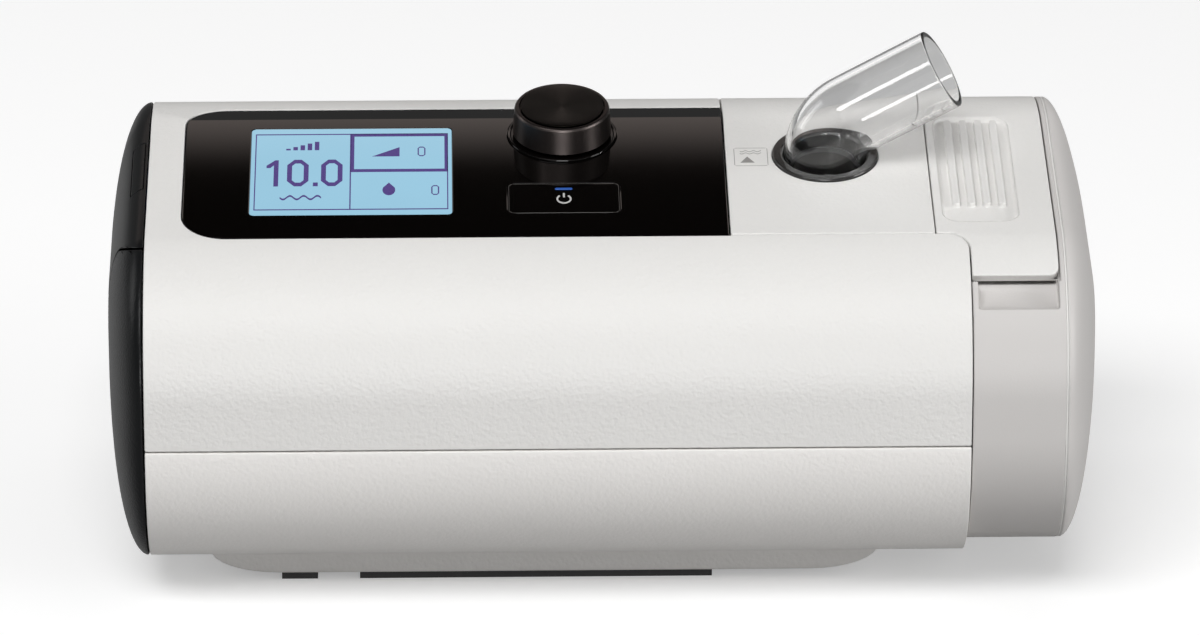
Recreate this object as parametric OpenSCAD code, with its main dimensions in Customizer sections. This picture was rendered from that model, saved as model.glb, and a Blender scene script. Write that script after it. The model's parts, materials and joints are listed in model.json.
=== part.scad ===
// Bench-top breathing-therapy blower with a drawer-type heated humidifier.
// X runs along the machine from the display to the humidifier, -Y is the front, Z is up.
// The origin is the middle of the footprint at the height of the surface that the feet stand on.

/* [Casing] */
// Distance from the casing's left rim to its right rim
casing_length = 215.5; // [200:0.5:240]
// Depth of the casing from front to back
casing_depth = 140; // [130:1:150]
// Height of the flat top above the surface it stands on
casing_top_z = 112; // [108:0.5:118]
// Height of the casing's underside
casing_floor_z = 9; // [8:0.5:12]
// Thickness of the casing walls
casing_wall = 2.5; // [2:0.1:3.2]
// Height of the seam between upper and lower casing
seam_z = 50; // [40:0.5:52]
// Width of the groove along every visible seam
seam_gap = 0.4; // [0.3:0.1:0.6]
// Radius of the front lower edge
front_low_r = 39; // [30:1:42]
// Radius of the front upper edge
front_top_r = 38; // [32:1:40]
// Height of the front upper edge's centre
front_top_z = 63; // [60:0.5:66]
// Radius of the back upper edge
back_top_r = 44; // [38:1:46]
// Radius of the back lower edge
back_low_r = 36; // [28:1:40]
// Slope of the control panel towards the user
panel_tilt = 11.7; // [10:0.1:13]
// Slope of the casing where it meets the control panel's front edge
panel_front_slope = 16; // [15:0.5:18]
// Left rim of the casing measured from the machine's middle
casing_left = 120; // [118:0.5:126]

/* [End caps] */
// Bulge of the left end cap
left_bulge = 11.2; // [9:0.1:13]
// Bulge of the right end cover
right_bulge = 12; // [9:0.1:13]
// Wall of the domed ends
dome_wall = 2.4; // [2:0.1:3]
// Height of the domes' centres
dome_centre_z = 60; // [56:0.5:64]
// Distance of the side panel's rear edge from the machine's middle plane
side_panel_rear = 28; // [26:0.5:32]
// Height of the side panel's upper edge
side_panel_top_z = 96; // [92:0.5:97]
// Corner radius of the side panel
side_panel_r = 13; // [8:1:16]
// Depth of the filter cover from front to back
filter_cover_depth = 52; // [44:1:54]
// Height of the filter cover
filter_cover_height = 54; // [48:1:56]
// Lowest edge of the filter cover
filter_cover_z = 27; // [24:1:32]
// Thickness of the filter cover
filter_cover_wall = 2; // [1.5:0.1:2.5]
// Distance from one air slot to the next
slot_pitch = 3; // [2.6:0.1:4]
// Thickness of the foam air filter
air_filter_t = 3.5; // [3:0.1:5]

/* [Display] */
// Left edge of the display lens from the machine's middle
lens_left = 110.5; // [106:0.5:112]
// Right edge of the display lens from the machine's middle
lens_right = 33; // [30:0.5:34]
// Corner radius of the lens
lens_corner_r = 11.5; // [6:0.5:14]
// Thickness of the lens
lens_t = 2; // [1.6:0.1:2.4]
// Depth of the flat strip between the panel's crease and the lens's back edge
top_strip = 8; // [6:0.5:10]
// Width of the screen
screen_w = 54; // [48:0.5:58]
// Height of the screen along the panel
screen_h = 45; // [40:0.5:46]
// Middle of the screen from the machine's middle
screen_x = -67; // [-70:0.5:-60]
// Middle of the screen below the crease
screen_s = 28; // [26:0.5:30]
// Thickness of the screen module
screen_t = 3.6; // [3:0.1:3.6]

/* [Knob and button] */
// Knob centre from the machine's middle
knob_x = -10; // [-14:0.5:-6]
// Knob centre below the crease
knob_s = 9; // [8:0.5:12]
// Radius at the foot of the knob
knob_r = 13.2; // [12:0.1:14]
// Radius at the shoulder of the knob
knob_shoulder_r = 12.6; // [11.8:0.1:13]
// Height of the knob's shoulder above the lens
knob_h = 8.6; // [7:0.1:10]
// Radius of the metal cap on the knob
knob_cap_r = 11.4; // [10:0.1:11.5]
// Radius of the ring round the knob
bezel_r = 14.5; // [14.2:0.1:16]
// Radius of the encoder shaft
encoder_shaft_r = 3; // [2.5:0.5:3]
// Inward travel of the knob when pushed
knob_travel = 0.8; // [0.4:0.1:1]
// Button centre below the crease
button_s = 42.1; // [40:0.5:44]
// Width of the power button
button_w = 29.2; // [24:0.1:32]
// Height of the power button along the panel
button_h = 15; // [12:0.1:16]
// Corner radius of the power button
button_r = 2; // [1:0.1:4]
// Inward travel of the power button
button_travel = 0.5; // [0.3:0.1:0.6]
// Gap round the power button
button_gap = 0.25; // [0.2:0.05:0.4]

/* [Hose outlet] */
// Outlet centre from the machine's middle
outlet_x = 59.9; // [58:0.1:62]
// Outlet centre below the crease
outlet_s = 20.7; // [18:0.1:24]
// Outer radius of the elbow, which takes a 22 mm hose cuff
elbow_r = 11; // [11:0.1:11]
// Wall of the elbow
elbow_wall = 1.5; // [1.2:0.1:2]
// Bend radius of the elbow's middle line
elbow_bend_r = 14; // [13:0.5:15]
// Bend angle of the elbow
elbow_bend = 59.5; // [50:0.5:62]
// Straight length of the elbow after its bend
elbow_straight = 27.4; // [24:0.1:28]
// Depth of the elbow's spigot below the panel
spigot_depth = 12; // [9:0.5:14]
// Outer radius of the collar round the elbow
collar_r = 14.1; // [14:0.1:15]
// Swivel clearance between elbow and collar
swivel_clearance = 0.08; // [0.03:0.01:0.1]

/* [Humidifier] */
// Left edge of the lid from the machine's middle
lid_left = 87.3; // [87:0.1:88]
// Right edge of the lid from the machine's middle
lid_right = 118.5; // [116:0.5:119]
// Thickness of the lid
lid_wall = 2.8; // [2.2:0.1:3]
// Angle on the front curve where the lid ends
lid_front_angle = 129.2; // [126:0.1:131]
// Angle on the front curve where the shell begins below the lid
scoop_top_angle = 131.6; // [131.5:0.1:133]
// Angle on the back curve where the lid ends
lid_back_angle = 66.5; // [66:0.1:68]
// Angle on the back curve where the casings and the shell begin behind the lid
rear_edge_angle = 64; // [62:0.1:64]
// Depth of the hinge axis below the top surface
hinge_depth = 6.5; // [6:0.1:7]
// Radius of the hinge pin
hinge_pin_r = 1.5; // [1.2:0.1:1.6]
// Running clearance round the hinge pin
hinge_clearance = 0.06; // [0.03:0.01:0.1]
// Left edge of the humidifier's shell from the machine's middle
shell_left = 95.8; // [95.7:0.1:96.5]
// Plane where the end cover meets the shell
end_cover_x = 120.5; // [119:0.5:121]
// Height of the humidifier shell's underside
shell_floor_z = 12.2; // [11:0.1:13]
// Radius of the finger scoop
scoop_r = 7.5; // [6.5:0.1:8]
// Number of raised ribs on the lid
rib_count = 4; // [3:1:5]
// Distance from one lid rib to the next
rib_pitch = 4.05; // [3.6:0.05:4.2]
// Width of a lid rib
rib_w = 2.05; // [1.5:0.05:2.4]
// Length of a lid rib along the panel
rib_l = 44; // [36:1:46]
// Height of the water tub's deck
tub_top_z = 90; // [86:0.5:90]
// Wall of the water tub
tub_wall = 2.2; // [1.8:0.1:2.6]
// Bore radius of the air ports between blower and humidifier
port_r = 8; // [7:0.1:8.5]
// Height of the air ports
port_z = 74; // [72:0.5:76]

/* [Base] */
// Height of the rubber feet
foot_h = 2; // [1.5:0.1:3]
// Length of the foot block where it meets the casing
pedestal_top_l = 178; // [160:1:184]
// Length of the foot block's flat underside
pedestal_low_l = 141; // [120:1:150]
// Middle of the foot block from the machine's middle
pedestal_x = -15.5; // [-18:0.5:-12]
// Depth of the foot block from front to back
pedestal_depth = 70; // [60:1:76]

/* [Blower] */
// Centre of the blower from the machine's middle
blower_x = -62; // [-64:0.5:-58]
// Inner radius of the blower housing
volute_r = 37; // [34:0.5:38]
// Wall of the blower housing
volute_wall = 2; // [1.6:0.1:2.4]
// Radius of the impeller
impeller_r = 32; // [28:0.5:33]
// Number of impeller blades
blade_count = 11; // [7:1:15]
// Radius of the motor can
motor_r = 16; // [14:0.5:17]
// Height of the motor can
motor_h = 15; // [12:0.5:16]
// Radius of the motor shaft
motor_shaft_r = 1.5; // [1.5:0.1:2]
// Radius of the blower's air inlet
blower_inlet_r = 14; // [12:0.5:16]
// Height of the silicone mounts under the blower
mount_h = 4; // [3:0.5:6]
// Outer radius of the air ducts
duct_r = 9.5; // [9:0.1:10]
// Wall of the air ducts
duct_wall = 1.5; // [1.2:0.1:2]

/* [Hidden] */
$fn = 64;

// Tiny overlap that lets a cutting shape pass through a face
cut = 0.5;
// Length of a cutting block that is larger than the whole machine
far = 400;
// Points along each quarter turn of the casing's outline
arc_steps = 12;
// Rings of facets on each dome
dome_rings = 7;
// Angle that a dome's curve sweeps before its flat middle
dome_sweep = 88;
// Least depth of the flat between the panel's crease and the back arc
least_flat = 0.5;
// Reach of a cut that passes square through the control panel
reach = 30;
// Corner radius of the seam round the outlet panel
seam_corner_r = 6;
// Slack between inner pieces and the casing around them
inner_fit = 0.2;
// Slack of a small moving panel in its opening
door_gap = 0.5;

// Driven places of the casing's outline, as depth y and height z
front_y = -casing_depth / 2;
back_y = casing_depth / 2;
casing_right = casing_length - casing_left;
front_top_c = [front_y + front_top_r, front_top_z];
back_top_c = [back_y - back_top_r, casing_top_z - back_top_r];
panel_front = [front_top_c[0] - front_top_r * sin(panel_front_slope),
    front_top_c[1] + front_top_r * cos(panel_front_slope)];
crease_y = panel_front[0] + (casing_top_z - panel_front[1]) / tan(panel_tilt);
lens_back_y = crease_y + top_strip;

// Driven places of the humidifier
dock_wall_t = 2.5;
dock_x = lid_left - 0.3;
hinge_angle = lid_back_angle - 1.5;
hinge_r = back_top_r - hinge_depth;
hinge_y = back_top_c[0] + hinge_r * cos(hinge_angle);
hinge_z = back_top_c[1] + hinge_r * sin(hinge_angle);
shell_end_x = end_cover_x - seam_gap;
shell_end_t = 2.2;
heater_tray_z = shell_floor_z + casing_wall + 0.5;
heater_tray_t = 2.2;
heater_plate_t = 2;
heater_top_z = heater_tray_z + heater_tray_t + heater_plate_t;
tub_floor_z = heater_top_z + 0.3;
tub_base_t = 1.5;
tub_deck_gap = 0.02;
tub_left = lid_left + 3.3;
tub_right = shell_end_x - shell_end_t;
tub_front = front_y + 22;
tub_back = back_y - 20;
tub_corner_r = 3.6;
tub_fill = [[tub_left + 3, tub_right - 3], [tub_front + 10, tub_back - 19]];
port_out_y = 18;
port_wall = 1.8;
lid_seal_t = 1.2;
skirt_wall = 2;
knuckle_r = 3;

// Driven places of the blower
casing_floor_top = casing_floor_z + casing_wall;
blower_z = casing_floor_top + mount_h;
motor_z = blower_z + volute_wall;
impeller_z = motor_z + motor_h + 1;
impeller_h = 11;
volute_top_z = impeller_z + impeller_h + 1.2;
duct_z = blower_z + duct_r + 3;
shaft_top_z = impeller_z + impeller_h - 1;
bearing_r = 4;
bearing_h = 3;

// Points on an arc about c from angle a0 to angle a1
function arc_points(c, r, a0, a1, n) =
    [for (i = [0:n]) let (a = a0 + (a1 - a0) * i / n) [c[0] + r * cos(a), c[1] + r * sin(a)]];

// Height of the control panel's plane, moved inwards by inset, at depth y
function panel_z(y, inset) =
    casing_top_z - inset - max(0, crease_y + inset * tan(panel_tilt / 2) - y) * tan(panel_tilt);

// Depth of the crease, which stays in front of the back arc where the panel runs into that arc
function crease_at(inset) = min(crease_y + inset * tan(panel_tilt / 2), back_top_c[0] - least_flat);

// The casing's outline in the Y-Z plane, moved inwards by inset
function body_outline(inset = 0, floor_z = casing_floor_z) = concat(
    arc_points([front_y + front_low_r, floor_z + front_low_r], front_low_r - inset, -90, -180, arc_steps),
    arc_points(front_top_c, front_top_r - inset, 180, 90 + panel_front_slope, arc_steps),
    [[crease_at(inset), panel_z(crease_at(inset), inset)]],
    [for (p = arc_points(back_top_c, back_top_r - inset, 90, 0, arc_steps)) [p[0], min(p[1], panel_z(p[0], inset))]],
    arc_points([back_y - back_low_r, floor_z + back_low_r], back_low_r - inset, 0, -90, arc_steps));

// Extrudes a shape drawn in the Y-Z plane from x0 to x1
module along_x(x0, x1) {
    translate([x0, 0, 0]) rotate([90, 0, 90]) linear_extrude(height = x1 - x0) children();
}

// Solid bar with the casing's outline
module body_bar(x0, x1, inset = 0, floor_z = casing_floor_z) {
    along_x(x0, x1) polygon(body_outline(inset, floor_z));
}

// Tube with the casing's outline and a wall that lies between two insets
module body_wrap(x0, x1, outer, inner, floor_z = casing_floor_z) {
    along_x(x0, x1) difference() {
        polygon(body_outline(outer, floor_z));
        polygon(body_outline(inner, floor_z));
    }
}

// Places children on the control panel: x along the machine, s down the slope from the crease,
// with local Z standing square out of the panel
module on_panel(x, s) {
    translate([x, crease_y, casing_top_z]) rotate([panel_tilt, 0, 0]) translate([0, -s, 0]) children();
}

// Block centred in X and Y that runs from z0 to z1
module block(w, d, z0, z1) {
    translate([-w / 2, -d / 2, z0]) cube([w, d, z1 - z0]);
}

// Block with rounded upright edges that runs from z0 to z1
module round_block(w, d, r, z0, z1) {
    corners = [for (q = [[1, 1, 0], [-1, 1, 90], [-1, -1, 180], [1, -1, 270]])
        each arc_points([q[0] * (w / 2 - r), q[1] * (d / 2 - r)], r, q[2], q[2] + 90, 8)];
    translate([0, 0, z0]) linear_extrude(height = z1 - z0) polygon(corners);
}

// Block given by its lowest and highest corner
module span(lo, hi) {
    translate(lo) cube(hi - lo);
}

// Round bar or tube along X
module rod_x(x0, x1, r) {
    translate([x0, 0, 0]) rotate([0, 90, 0]) cylinder(r = r, h = x1 - x0);
}

// Everything behind the radial plane at angle a through an arc's centre
module behind_radial(c, a) {
    translate([-far / 2, c[0], c[1]]) rotate([a - 90, 0, 0]) translate([0, 0, -far]) cube([far, far, 2 * far]);
}

// Everything in front of the radial plane at angle a through an arc's centre
module ahead_radial(c, a) {
    translate([-far / 2, c[0], c[1]]) rotate([a - 90, 0, 0]) translate([0, -far, -far]) cube([far, far, 2 * far]);
}

// Plan of the lens, grown by g on every side
module lens_prism(g) {
    r = lens_corner_r + g;
    y0 = panel_front[0] - g;
    y1 = lens_back_y + g;
    points = concat(
        [[lens_right + g, y1]],
        arc_points([-lens_left - g + r, y1 - r], r, 90, 180, 12),
        arc_points([-lens_left - g + r, y0 + r], r, 180, 270, 12),
        [[lens_right + g, y0]]);
    translate([0, 0, casing_top_z - reach]) linear_extrude(height = 2 * reach) polygon(points);
}

// Plan of everything behind the front casing's upper edge, right of x0, moved backwards by g
module top_region(x0, x1, g) {
    cx = casing_right - seam_corner_r;
    y0 = panel_front[0];
    points = concat(
        [[x0, y0 + g]],
        arc_points([cx, y0 - seam_corner_r], seam_corner_r + g, 90, 0, 8),
        [[cx + seam_corner_r + g, -casing_depth], [x1, -casing_depth], [x1, casing_depth], [x0, casing_depth]]);
    translate([0, 0, seam_z]) linear_extrude(height = casing_top_z) polygon(points);
}

// One ring of a dome: the casing's outline shrunk towards the dome's centre
function dome_ring(x, k, inset, floor_z) =
    [for (p = body_outline(inset, floor_z)) [x, p[0] * k, dome_centre_z + (p[1] - dome_centre_z) * k]];

// Closed shell of a dome that bulges from x0 by bulge towards side (-1 left, 1 right)
module dome_shell(x0, bulge, side, wall, floor_z) {
    n = len(body_outline(0, floor_z));
    turns = [for (i = [0:dome_rings]) dome_sweep * i / dome_rings];
    outer = [for (t = turns) dome_ring(x0 + side * bulge * sin(t), cos(t), 0, floor_z)];
    inner = [for (t = turns) dome_ring(x0 + side * (bulge - wall) * sin(t), cos(t), wall, floor_z)];
    points = concat([for (r = outer) each r], [for (r = inner) each r]);
    base = (dome_rings + 1) * n;
    walls = [for (s = [0, 1]) for (i = [0:dome_rings - 1]) for (j = [0:n - 1])
        let (a = s * base + i * n + j, b = s * base + i * n + (j + 1) % n)
        (s == 0) == (side < 0) ? [a, a + n, b + n, b] : [a, b, b + n, a + n]];
    rim = [for (j = [0:n - 1]) let (b = (j + 1) % n)
        side < 0 ? [j, b, base + b, base + j] : [j, base + j, base + b, b]];
    tips = [for (s = [0, 1]) let (k = s * base + dome_rings * n)
        (s == 0) == (side < 0) ? [for (j = [n - 1:-1:0]) k + j] : [for (j = [0:n - 1]) k + j]];
    polyhedron(points, concat(walls, rim, tips));
}

// Outline of the side panel in the Y-Z plane, moved inwards by g
module side_panel_plan(g) {
    x1 = -side_panel_rear - g;
    z1 = side_panel_top_z - g;
    r = side_panel_r;
    polygon(concat([[-casing_depth, -1], [x1, -1]],
        arc_points([x1 - r, z1 - r], r, 0, 90, 10),
        [[-casing_depth, z1]]));
}

// ---- casing ----

module lower_casing() color("gainsboro") {
    difference() {
        union() {
            intersection() {
                body_wrap(-casing_left, casing_right, 0, casing_wall);
                span([-far, -far, 0], [far, far, seam_z - seam_gap / 2]);
            }
            for (p = base_screw_places) translate([p[0], p[1], casing_floor_top - cut])
                cylinder(r = base_boss_r, h = base_boss_h + cut);
        }
        for (p = base_screw_places) translate([p[0], p[1], 0])
            cylinder(r = base_screw_r, h = casing_floor_top + base_boss_h - base_boss_roof);
    }
}

module upper_casing() color("whitesmoke") difference() {
    intersection() {
        body_wrap(-casing_left, casing_right, 0, casing_wall);
        span([-far, -far, seam_z + seam_gap / 2], [far, far, far]);
    }
    lens_prism(inner_fit);
    intersection() {
        top_region(lens_right, casing_right + 1, 0);
        ahead_radial(back_top_c, rear_edge_angle);
    }
    power_socket_cut(inner_fit);
}

module outlet_panel() color("gainsboro") difference() {
    intersection() {
        body_wrap(lens_right + seam_gap, dock_x, 0, casing_wall);
        top_region(lens_right, casing_right + 1, seam_gap);
        ahead_radial(back_top_c, rear_edge_angle + rear_edge_gap);
    }
    on_panel(outlet_x, outlet_s) translate([0, 0, -reach]) cylinder(r = collar_r + collar_fit, h = 2 * reach);
}

// ---- left end ----

module card_door_cut(g) {
    on_panel(card_door_x, card_s) block(card_door_w + 2 * g, card_w + 2 * g, -card_door_reach, card_door_reach);
}

// Pin along the card door's outer edge, where the dome's skin lies
module card_hinge(r, l) {
    k = (card_hinge_x + casing_left + seam_gap) / -left_bulge;
    shrink = sqrt(1 - k * k);
    y = crease_y - card_s * cos(panel_tilt);
    z = casing_top_z - card_s * sin(panel_tilt);
    translate([card_hinge_x, y * shrink, dome_centre_z + (z - dome_centre_z) * shrink])
        rotate([90 + panel_tilt, 0, 0]) cylinder(r = r, h = l, center = true);
}

module left_end_cap() color([0.09, 0.09, 0.1]) difference() {
    dome_shell(-casing_left - seam_gap, left_bulge, -1, dome_wall, casing_floor_z);
    along_x(-casing_left - 20, -casing_left + 1) side_panel_plan(-seam_gap);
    filter_pocket(door_gap);
    card_door_cut(door_gap / 2);
    card_hinge(card_hinge_r + door_gap / 2, card_w + door_gap);
}

module side_panel() color([0.12, 0.12, 0.13]) intersection() {
    dome_shell(-casing_left - seam_gap, left_bulge, -1, dome_wall, casing_floor_z);
    along_x(-casing_left - 20, -casing_left + 1) side_panel_plan(0);
}

filter_proud = 1;
filter_face_x = -casing_left - seam_gap - left_bulge - filter_proud;
filter_mid_y = -side_panel_rear + filter_cover_depth / 2 + 2;
filter_mid_z = filter_cover_z + filter_cover_height / 2;
filter_corner_r = 4.5;
filter_reach = 8;
filter_rim = 4;
slot_rim = 5;
filter_edge = 1.5;
filter_seat = 0.3;
foam_t = 12;
foam_front = 24;
foam_back = 30;
foam_half_h = 27;
foam_bore_r = 16;

card_s = 24;
card_w = 24;
card_l = 32;
card_t = 2.1;
card_in = -1.8;
card_door_w = 3.4;
card_door_x = -casing_left - card_door_w / 2 - 1.1;
card_door_reach = 9;
card_hinge_x = card_door_x - card_door_w / 2 + door_gap / 2;
card_hinge_r = 0.5;
card_socket_wall = 1.3;
card_socket_h = 3;
card_socket_l = 21.4;
card_socket_x = -casing_left + 12.8;
card_slack = 0.2;

// Places children on the left end's flat, with local Z pointing out of the machine
module on_left_face() {
    translate([filter_face_x, filter_mid_y, filter_mid_z]) rotate([90, 0, -90]) children();
}

module filter_pocket(g) {
    on_left_face() round_block(filter_cover_depth + 2 * g, filter_cover_height + 2 * g, filter_corner_r + g,
        -filter_reach, filter_reach);
}

module filter_cover() color([0.1, 0.1, 0.11]) on_left_face() {
    slots = floor((filter_cover_height - 2 * filter_rim) / slot_pitch);
    difference() {
        round_block(filter_cover_depth, filter_cover_height, filter_corner_r, -filter_cover_wall, 0);
        for (i = [0:slots - 1])
            translate([0, (i - (slots - 1) / 2) * slot_pitch, 0])
                block(filter_cover_depth - 2 * slot_rim, slot_pitch / 2, -filter_cover_wall - cut, cut);
    }
}

module air_filter() color("dimgray") on_left_face() {
    round_block(filter_cover_depth - 2 * filter_edge, filter_cover_height - 2 * filter_edge,
        filter_corner_r - door_gap, -filter_cover_wall - filter_seat - air_filter_t,
        -filter_cover_wall - filter_seat);
}

module inlet_foam() color("slategray") difference() {
    foam_x = filter_face_x + filter_cover_wall + 2 * filter_seat + air_filter_t;
    span([foam_x, filter_mid_y - foam_front, filter_mid_z - foam_half_h],
        [foam_x + foam_t, filter_mid_y + foam_back, filter_mid_z + foam_half_h]);
    translate([0, filter_mid_y, filter_mid_z]) rod_x(foam_x - cut, foam_x + foam_t + cut, foam_bore_r);
}

module card_door() color([0.08, 0.08, 0.09]) {
    intersection() {
        dome_shell(-casing_left - seam_gap, left_bulge, -1, dome_wall, casing_floor_z);
        card_door_cut(-door_gap / 2);
    }
    card_hinge(card_hinge_r, card_w - door_gap);
}

module card_socket() color("silver") on_panel(card_socket_x, card_s) difference() {
    block(card_socket_l, card_w + 2 * card_socket_wall, board_top, board_top + card_socket_h);
    block(card_socket_l + 2 * cut, card_w + 2 * card_slack,
        board_top + card_slack, board_top + 2 * card_slack + card_t + card_slack);
}

module memory_card() color("navy") on_panel(-casing_left + card_in + card_l / 2, card_s)
    block(card_l, card_w, board_top + 2 * card_slack, board_top + 2 * card_slack + card_t);

// ---- base ----

base_screw_inset = 11;
base_screw_x = [-2.5, 61.5];
base_screw_y = [for (side = [-1, 1]) side * (pedestal_depth / 2 - base_screw_inset)];
base_screw_places = [for (x = base_screw_x) for (y = base_screw_y) [pedestal_x + x, y]];
base_screw_r = 1.5;
base_screw_head_r = 2.8;
base_screw_head_h = 1.8;
base_screw_seat = 2.6;
base_screw_sink = 0.4;
base_boss_h = 6;
base_boss_r = 4;
base_boss_roof = 1.5;
pedestal_gap = 0.2;
foot_w = 8;
foot_inset = 5;
foot_long = 94;
foot_long_x = -2.3;
foot_short = 9.6;
foot_short_x = -65.3;
rear_edge_gap = 0.6;
collar_fit = 0.1;

module pedestal() color("silver") difference() {
    top = pedestal_top_l / 2;
    low = pedestal_low_l / 2;
    drop = casing_floor_z - pedestal_gap - foot_h;
    translate([pedestal_x, pedestal_depth / 2, 0]) rotate([90, 0, 0]) linear_extrude(height = pedestal_depth)
        polygon(concat(side_curve(-1, top, low, drop), side_curve(1, top, low, drop)));
    for (p = base_screw_places) translate([p[0], p[1], 0]) {
        cylinder(r = base_screw_r + inner_fit, h = casing_floor_z + 1);
        cylinder(r = base_screw_head_r + base_screw_sink, h = foot_h + base_screw_seat);
    }
}

// One end of the foot block's outline: a quarter of an ellipse from top to underside or back
function side_curve(side, top, low, drop) =
    [for (i = [0:8]) let (t = side < 0 ? 90 * i / 8 : 90 - 90 * i / 8)
        [side * (low + (top - low) * cos(t)), foot_h + drop * (1 - sin(t))]];

module rubber_feet() color("black") for (y = [-1, 1]) {
    foot_y = y * (pedestal_depth / 2 - foot_inset);
    translate([pedestal_x + foot_long_x, foot_y, 0]) block(foot_long, foot_w, 0, foot_h);
    translate([pedestal_x + foot_short_x, foot_y, 0]) block(foot_short, foot_w, 0, foot_h);
}

module base_screws() color("lightgray") for (p = base_screw_places) translate([p[0], p[1], 0]) {
    seat_z = foot_h + base_screw_seat;
    translate([0, 0, seat_z - base_screw_head_h]) cylinder(r = base_screw_head_r, h = base_screw_head_h);
    translate([0, 0, seat_z])
        cylinder(r = base_screw_r, h = casing_floor_top + base_boss_h - base_boss_roof - cut - seat_z);
}

// ---- display ----

lens_drop = 0.15;
frame_t = 1.8;
frame_wide = 3.5;
frame_lap = 4;
bezel_gap = 0.1;

module display_lens() color([0.03, 0.03, 0.03]) difference() {
    intersection() {
        body_wrap(-lens_left - 1, lens_right + 1, lens_drop, lens_drop + lens_t);
        lens_prism(0);
    }
    on_panel(knob_x, knob_s) translate([0, 0, -reach]) cylinder(r = bezel_r + bezel_gap, h = 2 * reach);
    on_panel(knob_x, button_s) round_block(button_w + 2 * button_gap, button_h + 2 * button_gap,
        button_r + button_gap, -reach, reach);
}

module display_frame() color([0.15, 0.15, 0.15]) difference() {
    intersection() {
        body_wrap(-lens_left - frame_lap, lens_right, casing_wall + inner_fit, casing_wall + inner_fit + frame_t);
        span([-far, panel_front[0] - 3, seam_z], [far, lens_back_y + frame_lap, far]);
    }
    on_panel(screen_x, screen_s) block(screen_w + 4, screen_h + 4, -reach, reach);
    on_panel(knob_x, knob_s) translate([0, 0, -reach]) cylinder(r = bezel_r - 0.6, h = 2 * reach);
    on_panel(knob_x, button_s) block(button_w - 4, button_h - 2, -reach, reach);
}

module lcd_screen() color("lightblue") on_panel(screen_x, screen_s)
    block(screen_w + 3, screen_h + 3, -lens_drop - lens_t - 0.05 - screen_t, -lens_drop - lens_t - 0.05);

board_top = -8.6;
board_t = 1.6;
board_x = -44.5;
board_w = 145;
board_s = 31;
board_d = 50;

module control_board() color("darkgreen") on_panel(board_x, board_s)
    block(board_w, board_d, board_top - board_t, board_top);

main_board_x = 27;
main_board_w = 70;
main_board_top = 88;
main_board_back = 20.4;
cap_r = 5;
cap_h = 6;
cap_pitch = 14;
cap_z = 70;
chip_x = -7;
chip_z = 34;
chip_w = 16;
chip_h = 3;
coil_x = 13;
coil_z = 30;
coil_w = 14;
coil_h = 8;

module main_board() color("darkgreen") {
    board_back = back_y - main_board_back;
    board_y = board_back - board_t;
    board_low = casing_floor_z + back_low_r + inner_fit
        - sqrt(pow(back_low_r - casing_wall, 2) - pow(back_low_r - main_board_back, 2));
    translate([main_board_x, board_y, 0]) {
        span([-main_board_w / 2, 0, board_low], [main_board_w / 2, board_t, main_board_top]);
        for (i = [0:2]) translate([(i - 1) * cap_pitch - 9, 0, cap_z]) rotate([90, 0, 0]) cylinder(r = cap_r, h = cap_h);
        translate([chip_x, 0, chip_z]) span([0, -chip_h, 0], [chip_w, 0, chip_w]);
        translate([coil_x, 0, coil_z]) span([0, -coil_h, 0], [chip_w, 0, coil_w]);
    }
}

// ---- knob ----

bezel_top = 0.35;
bezel_floor = 0.05;
bezel_low = -casing_wall - inner_fit + 0.05;
bezel_bore_r = encoder_shaft_r + 1.2;
knob_foot = bezel_top + knob_travel + 0.05;
knob_roof = 2.6;
plunger_h = 1.2;
encoder_low = board_top;
encoder_top = -3;
shaft_low = encoder_low + 0.3 + plunger_h + 0.02 + knob_travel + 0.2;

module knob_bezel() color([0.1, 0.1, 0.1]) on_panel(knob_x, knob_s) rotate_extrude() polygon([
    [bezel_bore_r, bezel_low], [bezel_r, bezel_low], [bezel_r, bezel_top - 0.2], [bezel_r - 0.2, bezel_top],
    [knob_r + 0.4, bezel_top], [knob_r + 0.4, bezel_floor], [bezel_bore_r, bezel_floor]]);

module encoder_body() color("gray") on_panel(knob_x, knob_s) difference() {
    union() {
        block(12.4, 13, encoder_low, encoder_top);
        translate([0, 0, encoder_top - cut]) cylinder(r = encoder_shaft_r + 1, h = cut + 1.2);
    }
    translate([0, 0, encoder_low + 0.3]) cylinder(r = encoder_shaft_r + 0.06, h = 20);
}

module encoder_plunger() color("silver") on_panel(knob_x, knob_s)
    translate([0, 0, shaft_low - plunger_h - 0.02]) cylinder(r = encoder_shaft_r - 0.4, h = plunger_h);

module encoder_shaft() color("silver") on_panel(knob_x, knob_s)
    translate([0, 0, shaft_low]) cylinder(r = encoder_shaft_r, h = knob_h - knob_roof - shaft_low);

module knob_body() color([0.08, 0.08, 0.08]) on_panel(knob_x, knob_s) rotate_extrude() polygon([
    [encoder_shaft_r, knob_foot + 0.6], [encoder_shaft_r + 2, knob_foot + 0.6],
    [encoder_shaft_r + 2, knob_h - knob_roof], [knob_shoulder_r - 2, knob_h - knob_roof], [knob_r - 1.6, knob_foot],
    [knob_r, knob_foot], [knob_shoulder_r, knob_h - 0.4], [knob_shoulder_r - 0.4, knob_h],
    [knob_cap_r, knob_h], [knob_cap_r, knob_h - 0.8], [0, knob_h - 0.8], [0, knob_h - knob_roof],
    [encoder_shaft_r, knob_h - knob_roof]]);

module knob_cap() color([0.16, 0.16, 0.16]) on_panel(knob_x, knob_s) rotate_extrude() polygon([
    [0, knob_h - 0.8], [knob_cap_r - 0.3, knob_h - 0.8], [knob_cap_r - 0.3, knob_h + 0.2],
    [knob_cap_r - 0.6, knob_h + 0.5], [0, knob_h + 0.4]]);

// ---- power button ----

button_top = -lens_drop;
button_stem_low = button_top - lens_t - 3.25;
light_w = 4.6;
light_h = 1;
light_s = 4.9;

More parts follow.
